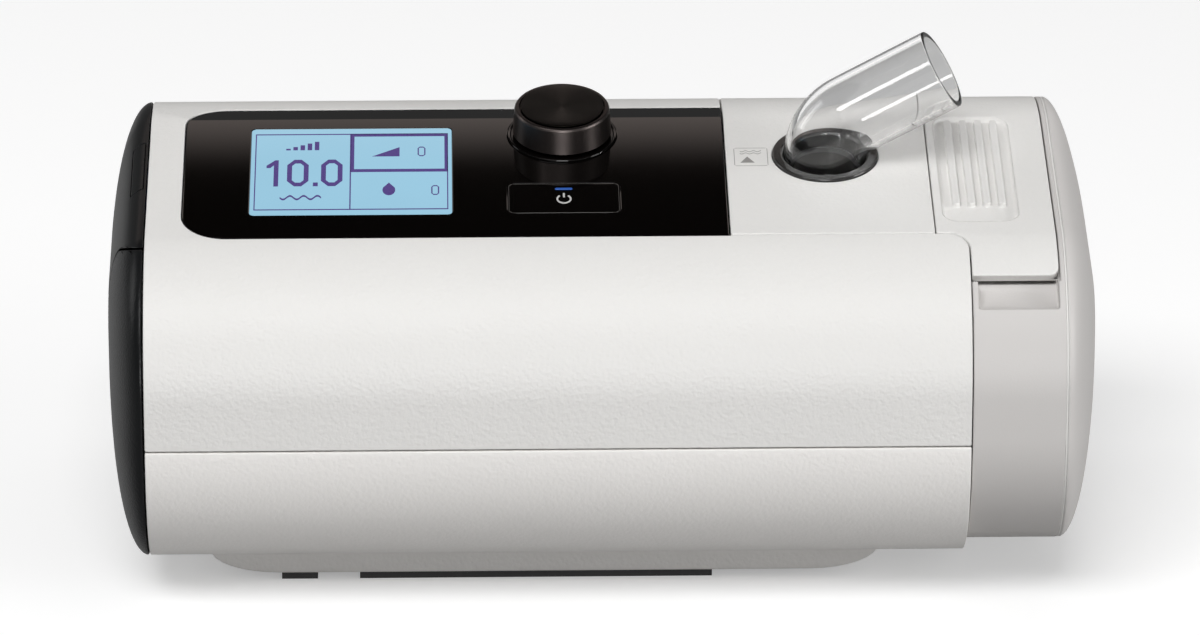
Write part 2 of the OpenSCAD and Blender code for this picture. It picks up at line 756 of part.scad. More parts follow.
module power_button() color([0.04, 0.04, 0.04]) on_panel(knob_x, button_s) difference() {
    union() {
        round_block(button_w, button_h, button_r, button_top - lens_t, button_top);
        block(6, 4, button_stem_low, button_top - lens_t + cut);
    }
    translate([0, light_s, 0]) block(light_w, light_h, -10, 10);
}

module led_light_guide() color("dodgerblue") on_panel(knob_x, button_s)
    translate([0, light_s, 0]) block(light_w, light_h, button_top - lens_t - 1, button_top);

module button_switch() color("silver") on_panel(knob_x, button_s) {
    switch_top = button_stem_low - button_travel - 0.1;
    block(6, 6, board_top, switch_top - 0.9);
    translate([0, 0, switch_top - 0.9]) cylinder(r = 1.6, h = 0.9);
}

// ---- hose outlet ----

spigot_flange_r = 12.2;
collar_top = 0.7;
collar_low = -spigot_depth - 1;
seal_z = -5;
bend_z = 0.25;
cuff_stop_w = 1.2;
cuff_stop_h = 0.25;

module outlet_collar() color([0.25, 0.25, 0.26]) on_panel(outlet_x, outlet_s) rotate_extrude() polygon([
    [elbow_r + swivel_clearance, collar_low + 3], [spigot_flange_r + 0.4, collar_low + 3],
    [spigot_flange_r + 0.4, collar_low], [collar_r, collar_low], [collar_r, collar_top - 0.3],
    [collar_r - 0.3, collar_top], [elbow_r + 0.8, collar_top], [elbow_r + swivel_clearance, collar_top - 0.7]]);

// The elbow's bent bar: spigot, bend and straight end, longer by extra at both ends
module elbow_bar(r, extra) {
    translate([0, 0, -spigot_depth - extra]) cylinder(r = r, h = spigot_depth + extra + bend_z);
    translate([elbow_bend_r, 0, bend_z]) rotate([90, 0, 180])
        rotate_extrude(angle = elbow_bend) translate([elbow_bend_r, 0]) circle(r = r);
    at_bend_end() cylinder(r = r, h = elbow_straight + extra);
}

// Places children where the elbow's straight end begins, with local Z along it
module at_bend_end() {
    translate([elbow_bend_r, 0, bend_z]) rotate([0, elbow_bend, 0]) translate([-elbow_bend_r, 0, 0]) children();
}

module outlet_elbow() color([0.85, 0.88, 0.9, 0.4]) on_panel(outlet_x, outlet_s) difference() {
    union() {
        elbow_bar(elbow_r, 0);
        translate([0, 0, -spigot_depth]) cylinder(r = spigot_flange_r, h = 1.6);
        at_bend_end() translate([0, 0, -cuff_stop_w / 2]) cylinder(r = elbow_r + cuff_stop_h, h = cuff_stop_w);
    }
    elbow_bar(elbow_r - elbow_wall, cut);
    translate([0, 0, seal_z]) seal_groove();
}

// Groove that holds the elbow's seal
module seal_groove() {
    difference() {
        cylinder(r = elbow_r + 1, h = 1.6);
        translate([0, 0, -1]) cylinder(r = elbow_r - 0.7, h = 4);
    }
}

module elbow_seal() color("black") on_panel(outlet_x, outlet_s) translate([0, 0, seal_z + 0.1])
    rotate_extrude() translate([elbow_r - 0.7, 0]) square([0.7, 1.4]);

module outlet_plenum() color("silver") {
    lo = [outlet_x - 14, nozzle_y + duct_r + 3, port_z - port_r - 4];
    hi = [dock_x - dock_wall_t - 0.1, port_out_y + port_r + 4, port_z + port_r + 4];
    wall = [duct_wall, duct_wall, duct_wall];
    neck_r = elbow_r + 1;
    difference() {
        union() {
            span(lo, hi);
            on_panel(outlet_x, outlet_s) translate([0, 0, -30]) cylinder(r = neck_r, h = 30 + collar_low - 0.2);
        }
        difference() {
            on_panel(outlet_x, outlet_s) translate([0, 0, -40]) cylinder(r = neck_r - duct_wall, h = 60);
            span([-far, -far, 0], [far, far, hi[2] - 2 * duct_wall]);
        }
        span(lo + wall, hi - wall);
        translate([0, port_out_y, port_z]) rod_x(hi[0] - 5, hi[0] + 5, port_r);
    }
}

// ---- blower ----

nozzle_y = -volute_r + duct_r;

module blower_base() color([0.3, 0.3, 0.3]) difference() {
    union() {
        translate([blower_x, 0, blower_z]) cylinder(r = volute_r + volute_wall, h = volute_top_z - blower_z);
        translate([0, nozzle_y, duct_z]) rod_x(blower_x, blower_x + volute_r + 10, duct_r);
    }
    translate([blower_x, 0, motor_z]) cylinder(r = volute_r, h = volute_top_z);
    translate([0, nozzle_y, duct_z]) rod_x(blower_x, blower_x + volute_r + 20, duct_r - duct_wall);
}

module blower_cover() color([0.3, 0.3, 0.3]) difference() {
    union() {
        translate([blower_x, 0, volute_top_z + 0.1]) cylinder(r = volute_r + volute_wall, h = volute_wall);
        translate([blower_x, 0, volute_top_z + 0.1]) cylinder(r = blower_inlet_r + 2, h = 7);
    }
    translate([blower_x, 0, volute_top_z - 1]) cylinder(r = blower_inlet_r, h = 20);
}

module blower_mounts() color("ivory") for (a = [45:90:315])
    translate([blower_x + 28 * cos(a), 28 * sin(a), casing_floor_top]) cylinder(r = 4, h = mount_h);

module motor_stator() color("silver") translate([blower_x, 0, motor_z]) difference() {
    cylinder(r = motor_r, h = motor_h);
    translate([0, 0, 1.5]) cylinder(r = bearing_r, h = motor_h);
    translate([0, 0, -cut]) cylinder(r = bearing_r - 1, h = motor_h + 2 * cut);
    translate([0, 0, 1.5 + bearing_h]) cylinder(r = motor_r - 4, h = motor_h - 3 - 2 * bearing_h);
}

module motor_bearings() color("gainsboro") for (z = [1.5, motor_h - bearing_h])
    translate([blower_x, 0, motor_z + z]) difference() {
        cylinder(r = bearing_r, h = bearing_h);
        translate([0, 0, -cut]) cylinder(r = motor_shaft_r + 0.03, h = bearing_h + 2 * cut);
    }

module motor_shaft() color("silver") translate([blower_x, 0, motor_z + 1]) {
    cylinder(r = motor_shaft_r, h = shaft_top_z - motor_z - 1);
    translate([0, 0, 0.5 + bearing_h + 0.6]) cylinder(r = motor_r - 5, h = motor_h - 4.2 - 2 * bearing_h);
}

module impeller() color("white") translate([blower_x, 0, impeller_z]) difference() {
    union() {
        cylinder(r = impeller_r, h = 1.4);
        cylinder(r = 6, h = impeller_h);
        for (i = [0:blade_count - 1]) rotate([0, 0, 360 * i / blade_count]) translate([17, 0, 0])
            rotate([0, 0, 28]) block(26, 1.2, 1, impeller_h);
    }
    translate([0, 0, -cut]) cylinder(r = motor_shaft_r, h = impeller_h - 1 + cut);
}

// Cross-section of the air ducts
module duct_ring() difference() {
    circle(r = duct_r);
    circle(r = duct_r - duct_wall);
}

module blower_duct() color([0.35, 0.35, 0.35]) {
    start = blower_x + volute_r + 10.1;
    bend_r = 14;
    rise_x = 48;
    translate([start, nozzle_y, duct_z]) rotate([0, 90, 0])
        linear_extrude(height = rise_x - start) duct_ring();
    translate([rise_x, nozzle_y, duct_z + bend_r]) rotate([90, 0, 0]) rotate([0, 0, -90])
        rotate_extrude(angle = 90) translate([bend_r, 0]) duct_ring();
    translate([rise_x + bend_r, nozzle_y, duct_z + bend_r])
        linear_extrude(height = port_z - duct_z - 2 * bend_r) duct_ring();
    translate([rise_x + 2 * bend_r, nozzle_y, port_z - bend_r]) rotate([90, 0, 0]) rotate([0, 0, 90])
        rotate_extrude(angle = 90) translate([bend_r, 0]) duct_ring();
    translate([rise_x + 2 * bend_r, nozzle_y, port_z]) rotate([0, 90, 0])
        linear_extrude(height = dock_x - dock_wall_t - 0.1 - rise_x - 2 * bend_r) duct_ring();
}

// ---- humidifier dock ----

module port_holes(x0, x1, r) {
    for (y = [nozzle_y, port_out_y]) translate([0, y, port_z]) rod_x(x0, x1, r);
}

module dock_wall() color("gainsboro") difference() {
    body_bar(dock_x - dock_wall_t, dock_x, casing_wall + inner_fit);
    port_holes(dock_x - 10, dock_x + 10, port_r);
}

module dock_seals() color("dimgray") difference() {
    port_holes(dock_x, dock_x + 1, port_r + 3);
    port_holes(dock_x - 10, dock_x + 10, port_r);
}

module heater_tray() color("dimgray") {
    span([dock_x, -33, heater_tray_z], [tub_right - 4, 35, heater_tray_z + heater_tray_t]);
}

module heater_plate() color("silver") {
    span([tub_left, -32, heater_tray_z + heater_tray_t], [tub_right - 5, 34, heater_top_z]);
}

socket_x = 20;
socket_z = 58;
socket_r = 5;
socket_w = 16;
socket_h = 13;
socket_l = 14;
socket_sink = 0.3;
socket_mouth = 4;
socket_depth = 10;
socket_step = 0.5;
contact_r = 0.5;
contact_ring_r = 2.6;

module power_socket_cut(g) {
    translate([socket_x, back_y, socket_z]) rotate([90, 0, 0])
        block(socket_w + 2 * g, socket_h + 2 * g, -socket_mouth, socket_depth);
}

module power_socket() color([0.12, 0.12, 0.12])
translate([socket_x, back_y - socket_sink, socket_z]) rotate([90, 0, 0]) {
    difference() {
        block(socket_w, socket_h, 0, socket_l);
        translate([0, 0, -cut]) cylinder(r = socket_r, h = socket_mouth + cut);
        cylinder(r = socket_r - socket_step, h = socket_depth);
    }
    for (a = [45:90:315]) translate([contact_ring_r * cos(a), contact_ring_r * sin(a), socket_mouth + 2 * cut])
        cylinder(r = contact_r, h = socket_depth - socket_mouth - cut);
}

// ---- humidifier ----

tub_mid_x = (tub_left + tub_right) / 2;
tub_mid_y = (tub_front + tub_back) / 2;
tub_w = tub_right - tub_left;
tub_d = tub_back - tub_front;

module water_tub() color([0.8, 0.86, 0.9, 0.5]) difference() {
    union() {
        translate([tub_mid_x, tub_mid_y, 0])
            round_block(tub_w, tub_d, tub_corner_r, tub_floor_z, tub_top_z - tub_wall - tub_deck_gap);
        port_holes(tub_left - port_spigot, tub_left + 1, port_r + port_wall);
    }
    translate([tub_mid_x, tub_mid_y, 0]) round_block(tub_w - 2 * tub_wall, tub_d - 2 * tub_wall,
        tub_corner_r - tub_wall, tub_floor_z - 1, tub_top_z);
    port_holes(tub_left - 10, tub_left + 5, port_r);
}

// Deck that closes the tub's top round its filling opening
module tub_deck() color([0.8, 0.86, 0.9, 0.5]) difference() {
    translate([tub_mid_x, tub_mid_y, 0])
        round_block(tub_w, tub_d, tub_corner_r, tub_top_z - tub_wall, tub_top_z);
    span([tub_fill[0][0], tub_fill[1][0], tub_top_z - 10], [tub_fill[0][1], tub_fill[1][1], tub_top_z + 10]);
}

port_spigot = tub_left - dock_x - 1.3;

module tub_base_plate() color("silver") translate([tub_mid_x, tub_mid_y, 0])
    round_block(tub_w - 2 * tub_wall, tub_d - 2 * tub_wall, tub_corner_r - tub_wall,
        tub_floor_z, tub_floor_z + tub_base_t);

scoop_c = [front_y + 9, front_top_c[1] + 30.5];

module chamber_shell() color([0.76, 0.75, 0.74]) difference() {
    union() {
        difference() {
            body_bar(shell_left, shell_end_x, 0, shell_floor_z);
            body_bar(shell_left - 1, shell_end_x - shell_end_t, casing_wall, shell_floor_z);
        }
        intersection() {
            body_bar(shell_left, shell_end_x, 0.5, shell_floor_z);
            span([shell_left, front_y, scoop_c[1] - 12], [shell_end_x, scoop_c[0] + 10.5, scoop_c[1] - 4.5]);
        }
        hinge_ears();
    }
    intersection() {
        span([shell_left - 1, -far, seam_z], [lid_right + seam_gap, far, far]);
        behind_radial(front_top_c, scoop_top_angle);
        ahead_radial(back_top_c, rear_edge_angle);
        lid_space();
    }
    translate([0, scoop_c[0], scoop_c[1]]) rod_x(shell_left + 2, lid_right - 0.5, scoop_r);
    translate([0, hinge_y, hinge_z]) rod_x(ear_places[0] - 1, ear_places[1] + ear_t, hinge_pin_r);
}

// The lid with its gap, as thick as the shell's wall
module lid_space() {
    body_wrap(shell_left - 1, lid_right + seam_gap, -1, casing_wall + 0.5, shell_floor_z);
}

lid_gap = seam_gap + 0.1;
grip_y = panel_front[0] + lid_gap;
grip_gap = 0.02;
recess_x = lid_left + 12.2;
recess_w = 20;
recess_l = 54;
recess_s = 28.5;
recess_r = 4.3;
recess_depth = 0.6;
rib_shift = 0;
rib_s = 24.5;
ear_t = 3;
ear_places = [shell_left + 0.6, shell_end_x - shell_end_t - ear_t];

// Ears that hold the lid's hinge pin, with webs down the back wall
module hinge_ears() {
    for (x = ear_places) {
        translate([0, hinge_y, hinge_z]) rod_x(x, x + ear_t, knuckle_r);
        intersection() {
            body_bar(x, x + ear_t, 0.5, shell_floor_z);
            translate([x, hinge_y - knuckle_r, hinge_z]) rotate([-40, 0, 0]) cube([ear_t, 30, 4]);
        }
    }
}

module end_cover() color([0.8, 0.8, 0.79])
    dome_shell(end_cover_x, right_bulge, 1, dome_wall, shell_floor_z);

module lid_hinge_pin() color("silver") translate([0, hinge_y, hinge_z])
    rod_x(ear_places[0], ear_places[1] + ear_t, hinge_pin_r);

module humidifier_lid() color("whitesmoke") difference() {
    union() {
        intersection() {
            body_wrap(lid_left, lid_right, 0, lid_wall);
            span([lid_left, grip_y, 0], [lid_right, far, far]);
            lid_sector();
        }
        lid_skirt();
        lid_knuckle();
    }
    translate([0, hinge_y, hinge_z]) rod_x(0, far, hinge_pin_r + hinge_clearance);
    difference() {
        on_panel(recess_x, recess_s) round_block(recess_w, recess_l, recess_r, -recess_depth, 5);
        for (i = [0:rib_count - 1])
            on_panel(recess_x + rib_shift + (i - (rib_count - 1) / 2) * rib_pitch, rib_s)
                round_block(rib_w, rib_l, rib_w / 2 - 0.05, -3, 0.05);
    }
}

// Front of the lid, which wraps down over the humidifier's shell beside the casing's corner
module lid_grip() color("whitesmoke") intersection() {
    body_wrap(casing_right + lid_gap, lid_right, 0, lid_wall);
    span([casing_right, -far, 0], [lid_right, grip_y - grip_gap, far]);
    lid_sector();
}

// The wedge between the lid's front and back edges
module lid_sector() {
    intersection() {
        behind_radial(front_top_c, lid_front_angle);
        ahead_radial(back_top_c, lid_back_angle);
    }
}

skirt_lo = [tub_fill[0][0] - skirt_wall - 0.3, tub_fill[1][0] - skirt_wall - 0.3];
skirt_hi = [tub_fill[0][1] + skirt_wall - 1.5, tub_fill[1][1] + skirt_wall + 0.3];

module lid_skirt() {
    intersection() {
        body_bar(lid_left, lid_right, lid_wall - 1);
        difference() {
            span([skirt_lo[0], skirt_lo[1], tub_top_z + lid_seal_t + 0.3], [skirt_hi[0], skirt_hi[1], far]);
            span([skirt_lo[0] + skirt_wall, skirt_lo[1] + skirt_wall, 0],
                [skirt_hi[0] - skirt_wall, skirt_hi[1] - skirt_wall, far]);
        }
    }
}

module lid_knuckle() {
    x0 = ear_places[0] + ear_t + 0.5;
    x1 = ear_places[1] - 0.5;
    translate([0, hinge_y, hinge_z]) rod_x(x0, x1, knuckle_r);
    intersection() {
        body_bar(x0, x1, 1);
        translate([x0, hinge_y - 2 * knuckle_r, hinge_z]) cube([x1 - x0, 2 * knuckle_r, 20]);
        lid_sector();
    }
}

module lid_seal() color("dimgray") difference() {
    span([skirt_lo[0], skirt_lo[1], tub_top_z + 0.3], [skirt_hi[0], skirt_hi[1], tub_top_z + lid_seal_t + 0.3]);
    span([skirt_lo[0] + skirt_wall, skirt_lo[1] + skirt_wall, 0],
        [skirt_hi[0] - skirt_wall, skirt_hi[1] - skirt_wall, far]);
}

lower_casing();
upper_casing();
outlet_panel();
left_end_cap();
side_panel();
filter_cover();
air_filter();
inlet_foam();
card_door();
card_socket();
memory_card();
pedestal();
rubber_feet();
base_screws();
display_lens();
display_frame();
lcd_screen();
control_board();
main_board();
knob_bezel();
encoder_body();
encoder_plunger();
encoder_shaft();
knob_body();
knob_cap();
power_button();
led_light_guide();
button_switch();
outlet_collar();
outlet_elbow();
elbow_seal();
outlet_plenum();
blower_base();
blower_cover();
blower_mounts();
motor_stator();
motor_bearings();
motor_shaft();
impeller();
blower_duct();
dock_wall();
dock_seals();
heater_tray();
heater_plate();
power_socket();
water_tub();
tub_deck();
tub_base_plate();
chamber_shell();
end_cover();
lid_hinge_pin();
humidifier_lid();
lid_grip();
lid_seal();
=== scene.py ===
import json
import math
from contextlib import contextmanager

import bpy
from bpy.props import FloatProperty, FloatVectorProperty, IntProperty, PointerProperty
from bpy.types import Operator, Panel, PropertyGroup
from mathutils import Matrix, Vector


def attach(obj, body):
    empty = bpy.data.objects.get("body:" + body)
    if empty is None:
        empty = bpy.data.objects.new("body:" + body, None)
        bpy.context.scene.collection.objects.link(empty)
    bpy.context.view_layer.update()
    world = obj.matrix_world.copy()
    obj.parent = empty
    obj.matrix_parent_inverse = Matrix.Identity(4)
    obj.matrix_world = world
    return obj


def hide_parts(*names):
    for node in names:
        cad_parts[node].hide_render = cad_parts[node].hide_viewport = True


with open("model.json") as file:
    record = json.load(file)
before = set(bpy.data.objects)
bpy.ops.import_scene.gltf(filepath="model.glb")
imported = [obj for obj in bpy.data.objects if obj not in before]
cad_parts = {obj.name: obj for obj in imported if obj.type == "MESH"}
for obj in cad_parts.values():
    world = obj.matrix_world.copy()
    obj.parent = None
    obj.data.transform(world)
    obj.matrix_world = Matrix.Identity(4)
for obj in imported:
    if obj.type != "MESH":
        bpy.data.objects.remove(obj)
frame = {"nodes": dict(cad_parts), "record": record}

bl_info = {
    "name": "Breathing-therapy machine dressing",
    "version": (1, 0, 0),
    "blender": (4, 5, 0),
    "location": "View3D > Sidebar > Therapy Machine",
    "description": "Detailed pieces, finishes and a plain studio round the packed frame",
    "category": "Add Mesh",
}

# ---- places on the machine, in millimetres of the frame ----

# arcs of the cross-section: middle y, middle z where it isn't the floor plus the radius, radius
FRONT_LOW = (-31.0, 39.0)
FRONT_TOP = (-32.0, 63.0, 38.0)
BACK_TOP = (26.0, 68.0, 44.0)
BACK_LOW = (34.0, 36.0)
# heights of the casing's floor, the humidifier's floor, the crease of the top and the casing's seam
CASING_FLOOR, SHELL_FLOOR, TOP_Z, SEAM_Z = 9.0, 12.2, 112.0, 50.0
CASING_X, CASING_WALL = (-120.0, 95.5), 2.5

# the control panel slopes down to the front from the crease; places on it are x and the way down, s
TILT = math.radians(11.7)
PANEL_FRONT_Y = -42.474
CREASE_Y = 17.751
LENS_X, LENS_BACK_Y, LENS_CORNER, LENS_CUT_Z = (-110.5, 33.0), 25.751, 11.5, (82, 140)
SCREEN = (-66.2, 27.4, 53.4, 44.8)
KNOB, KNOB_HOLE_R = (-10.0, 9.0), 14.6
BUTTON, BUTTON_SIZE = (-10.0, 42.1), (29.2, 15.0)
OUTLET, COLLAR_HOLE_R = (59.9, 20.7), 14.2
OUTLET_PANEL_X, OUTLET_PANEL_BACK = (33.4, 87), 64

# domed ends: x of the rim, bulge, direction along x, height of the middle, fullness
LEFT_DOME = (-120.4, 10.9, -1, 66.0, 0.85)
RIGHT_DOME = (120.5, 11.95, 1, 64.0, 1.35)
DOME_SWEEP, DOME_WALL = 87, 2.4
# the left end: how far its cuts run, the card door drawn on the panel, the filter cover drawn from the left
PANEL_CUT_X, COVER_CUT_X, DOOR_CUT_H = (-143, -119), (-140, -122), (-9, 9)
DOOR, DOOR_GAP = (-124.4, 12.1, -121.15, 35.9), 0.12
FILTER, FILTER_GAP = (-26, 27, 26, 81), 0.25
FILTER_SLOTS, SLOT_PITCH = 32, 1.56

# the lid: its ends in x, its front and back edges as angles round the cross-section's arcs, its front corner
LID_X, LID_FRONT, LID_BACK, LID_CORNER_R = (87.3, 118.5), 129.2, 66.5, 2.6
RIBS, RIB_PITCH = 4, 4.05

# the clear elbow: radius, wall, radius and angle of the bend, straight parts before and after it, depth below
ELBOW_R, ELBOW_WALL, BEND_R, BEND, BEND_H, STRAIGHT = 11.0, 1.5, 14.0, math.radians(59.5), 0.25, 27.4
SPIGOT = 12.0

# layers of the thin marks over the surface they lie on: screen and button prints, and the engraved sign,
# drawn flat with the shade of its grooves painted grey
INK_H, BUTTON_SIGN_H, SIGN_H = (-0.22, -0.17), (-0.16, -0.12), (0.0, 0.03)
FAR = 200


def at(x, y, z):
    """A point given in millimetres."""
    return Vector((x, y, z)) / 1000


def on_panel(x, s, h=0.0):
    """A point on the control panel: s down the slope from the crease, h above the surface."""
    along, up = math.cos(TILT), math.sin(TILT)
    return at(x, CREASE_Y - s * along - h * up, TOP_Z - s * up + h * along)


PANEL_UP = Vector((0, -math.sin(TILT), math.cos(TILT)))


def arc(cy, cz, r, a0, a1, steps):
    """Points on an arc, as pairs."""
    turns = [math.radians(a0 + (a1 - a0) * i / steps) for i in range(steps + 1)]
    return [(cy + r * math.cos(a), cz + r * math.sin(a)) for a in turns]


def outline(inset=0.0, floor=CASING_FLOOR, steps=24):
    """The casing's cross-section, moved inwards by inset, as (y, z) pairs."""
    return (
        arc(FRONT_LOW[0], floor + FRONT_LOW[1], FRONT_LOW[1] - inset, -90, -180, steps)
        + arc(FRONT_TOP[0], FRONT_TOP[1], FRONT_TOP[2] - inset, 180, 106, steps)
        + [(CREASE_Y + inset * math.tan(TILT / 2), TOP_Z - inset)]
        + arc(BACK_TOP[0], BACK_TOP[1], BACK_TOP[2] - inset, 90, 0, steps)
        + arc(BACK_LOW[0], floor + BACK_LOW[1], BACK_LOW[1] - inset, 0, -90, steps)
    )


def ring(x, inset=0.0, floor=CASING_FLOOR):
    """The cross-section standing at x."""
    return [at(x, y, z) for y, z in outline(inset, floor)]


def rounded(x0, y0, x1, y1, r, steps=8):
    """A rectangle with rounded corners, as pairs."""
    return (
        arc(x1 - r, y1 - r, r, 0, 90, steps) + arc(x0 + r, y1 - r, r, 90, 180, steps)
        + arc(x0 + r, y0 + r, r, 180, 270, steps) + arc(x1 - r, y0 + r, r, 270, 360, steps)
    )


def about(x, y, w, h):
    """The corners of a rectangle round its middle."""
    return x - w / 2, y - h / 2, x + w / 2, y + h / 2


def grown(corners, g):
    """A rectangle's corners moved outwards by g."""
    x0, y0, x1, y1 = corners
    return x0 - g, y0 - g, x1 + g, y1 + g


def corners_of(x0, y0, x1, y1):
    """A rectangle's corners in order, as pairs."""
    return [(x0, y0), (x1, y0), (x1, y1), (x0, y1)]


def circle(place, r, steps=96):
    """A full circle round a place, as pairs."""
    turns = [i * math.tau / steps for i in range(steps)]
    return [(place[0] + r * math.cos(a), place[1] + r * math.sin(a)) for a in turns]


# ---- modelling moves ----


def deselect():
    """Leaves nothing selected, in object mode."""
    if bpy.context.object and bpy.context.object.mode != "OBJECT":
        bpy.ops.object.mode_set(mode="OBJECT")
    bpy.ops.object.select_all(action="DESELECT")


def pick(*objs):
    """Selects these objects alone and makes the first one active."""
    deselect()
    for o in objs:
        o.select_set(True)
    bpy.context.view_layer.objects.active = objs[0]


@contextmanager
def editing(obj, kind="VERT"):
    """Edit mode with everything selected."""
    pick(obj)
    bpy.ops.object.mode_set(mode="EDIT")
    bpy.ops.mesh.select_mode(type=kind)
    bpy.ops.mesh.select_all(action="SELECT")
    yield
    bpy.ops.object.mode_set(mode="OBJECT")


def choose(obj, test, kind="VERT"):
    """In edit mode, selects only the vertices, edges or faces whose middle passes the test."""
    bpy.ops.mesh.select_all(action="DESELECT")
    bpy.ops.mesh.select_mode(type=kind)
    bpy.ops.object.mode_set(mode="OBJECT")
    me = obj.data
    if kind == "VERT":
        for v in me.vertices:
            v.select = test(v.co)
    elif kind == "EDGE":
        for e in me.edges:
            e.select = all(test(me.vertices[i].co) for i in e.vertices)
    else:
        for p in me.polygons:
            p.select = test(p)
    bpy.ops.object.mode_set(mode="EDIT")


def loop(name, points):
    """A closed loop of edges through the points."""
    deselect()
    bpy.ops.mesh.primitive_circle_add(vertices=len(points), radius=0.01, location=(0, 0, 0))
    obj = bpy.context.object
    obj.name = name
    for v, p in zip(obj.data.vertices, points):
        v.co = p
    return obj


def extrude(move):
    """In edit mode, extrudes what is selected."""
    bpy.ops.mesh.extrude_region_move(TRANSFORM_OT_translate={"value": tuple(move)})


def face_outwards():
    """In edit mode, closes the seams and turns every face outwards."""
    bpy.ops.mesh.select_all(action="SELECT")
    bpy.ops.mesh.remove_doubles(threshold=1e-7)
    bpy.ops.mesh.normals_make_consistent(inside=False)


def prism(name, points, move):
    """A closed loop, filled and extruded."""
    obj = loop(name, points)
    with editing(obj):
        bpy.ops.mesh.edge_face_add()
        extrude(move)
        face_outwards()
    return obj


def join(name, *objs):
    """Joins pieces into the first of them."""
    pick(*objs)
    if len(objs) > 1:
        bpy.ops.object.join()
    objs[0].name = name
    return objs[0]


def sleeve(name, outer, inner, move):
    """The band between two loops, extruded into a tube."""
    obj = join(name, loop("outer", outer), loop("inner", inner))
    with editing(obj, "EDGE"):
        bpy.ops.mesh.bridge_edge_loops()
        bpy.ops.mesh.select_all(action="SELECT")
        extrude(move)
        face_outwards()
    return obj


def apply(obj, kind, **settings):
    """Adds a modifier with these settings and applies it."""
    pick(obj)
    mod = obj.modifiers.new(kind.lower(), kind)
    for key, value in settings.items():
        setattr(mod, key, value)
    bpy.ops.object.modifier_apply(modifier=mod.name)
    return obj


def carve(obj, *tools, how="DIFFERENCE"):
    """Cuts the tools out of obj and removes them."""
    for tool in tools:
        apply(obj, "BOOLEAN", operation=how, object=tool, solver="EXACT")
        bpy.data.objects.remove(tool)
    return obj


def trim(obj, *tools):
    """Keeps only what obj shares with each tool."""
    return carve(obj, *tools, how="INTERSECT")


def row(obj, count, step):
    """Repeats a piece count times, step apart."""
    return apply(obj, "ARRAY", count=count, use_relative_offset=False, use_constant_offset=True,
                 constant_offset_displace=step)


def soften(obj, width=0.3, segments=2, angle=32, smooth=38):
    """Rounds the sharp edges by width in millimetres and shades the rest smooth."""
    with editing(obj):
        bpy.ops.mesh.remove_doubles(threshold=2e-6)
        bpy.ops.mesh.dissolve_degenerate(threshold=2e-6)
    if width:
        apply(obj, "BEVEL", width=width / 1000, segments=segments, limit_method="ANGLE",
              angle_limit=math.radians(angle), use_clamp_overlap=False, miter_outer="MITER_SHARP")
    pick(obj)
    bpy.ops.object.shade_smooth_by_angle(angle=math.radians(smooth))
    apply(obj, "WEIGHTED_NORMAL", mode="FACE_AREA", weight=50, keep_sharp=True)
    return obj


def bar(name, x0, x1, inset=0.0, floor=CASING_FLOOR):
    """The filled cross-section, running from x0 to x1."""
    return prism(name, ring(x0, inset, floor), at(x1 - x0, 0, 0))


def wrap(name, x0, x1, outer, inner, floor=CASING_FLOOR):
    """A shell that follows the cross-section, between two insets, running from x0 to x1."""
    return sleeve(name, ring(x0, outer, floor), ring(x0, inner, floor), at(x1 - x0, 0, 0))


def plan(name, points, z0, z1):
    """A shape drawn from above, standing from z0 to z1."""
    return prism(name, [at(x, y, z0) for x, y in points], at(0, 0, z1 - z0))


def panel_block(name, points, h0, h1):
    """A shape drawn on the control panel as (x, s) pairs, standing from h0 to h1."""
    return prism(name, [on_panel(x, s, h0) for x, s in points], PANEL_UP * (h1 - h0) / 1000)


def side_block(name, points, x0, x1):
    """A shape drawn in the Y-Z plane, running from x0 to x1."""
    return prism(name, [at(x0, y, z) for y, z in points], at(x1 - x0, 0, 0))


def box(name, lo, hi):
    """A block between two corners."""
    return plan(name, corners_of(lo[0], lo[1], hi[0], hi[1]), lo[2], hi[2])


def turned(name, profile, place, steps=96):
    """A profile of (radius, height) pairs spun round the panel's normal at place."""
    origin = on_panel(*place)
    obj = loop(name, [origin + at(r, 0, 0) + PANEL_UP * h / 1000 for r, h in profile])
    with editing(obj):
        bpy.ops.mesh.spin(steps=steps, angle=math.tau, center=origin, axis=PANEL_UP)
        bpy.ops.mesh.select_all(action="SELECT")
        bpy.ops.mesh.remove_doubles(threshold=2e-6)
        bpy.ops.mesh.dissolve_degenerate(threshold=1e-6)
        face_outwards()
    return obj


def dressed_copy(node, name, width=0.25, segments=2, angle=32):
    """A merged copy of a frame node whose sharp edges are rounded."""
    deselect()
    source = frame["nodes"][node]
    obj = source.copy()
    obj.data = source.data.copy()
    obj.parent = None
    for key in list(obj.keys()):
        if key.startswith("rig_"):
            del obj[key]
    bpy.context.scene.collection.objects.link(obj)
    obj.name = name
    pick(obj)
    if obj.data.has_custom_normals:
        bpy.ops.mesh.customdata_custom_splitnormals_clear()
    with editing(obj):
        bpy.ops.mesh.remove_doubles(threshold=2e-6)
        bpy.ops.mesh.dissolve_limited(angle_limit=math.radians(0.4))
        bpy.ops.mesh.normals_make_consistent(inside=False)
    return soften(obj, width, segments, angle)


def finish(obj, body, slot, material=None, node=None):
    """Gives a piece its finish, its body and the frame node that it stands for."""
    obj.data.materials.clear()
    obj.data.materials.append(FINISHES[material or slot])
    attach(obj, body)
    if node:
        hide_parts(*([node] if isinstance(node, str) else node))
    return obj


# ---- finishes ----

FINISHES = {}


def wire(tree, kind, inputs=None, **settings):
    """Adds a shader node, sets it up and connects its inputs."""
    n = tree.nodes.new(kind)
    for key, value in settings.items():
        setattr(n, key, value)
    for key, value in (inputs or {}).items():
        if isinstance(value, bpy.types.NodeSocket):
            tree.links.new(value, n.inputs[key])
        else:
            n.inputs[key].default_value = value
    return n


def mix(tree, factor, a, b):
    """Mixes two colours."""
    return wire(tree, "ShaderNodeMix", {"Factor": factor, 6: a, 7: b}, data_type="RGBA").outputs[2]


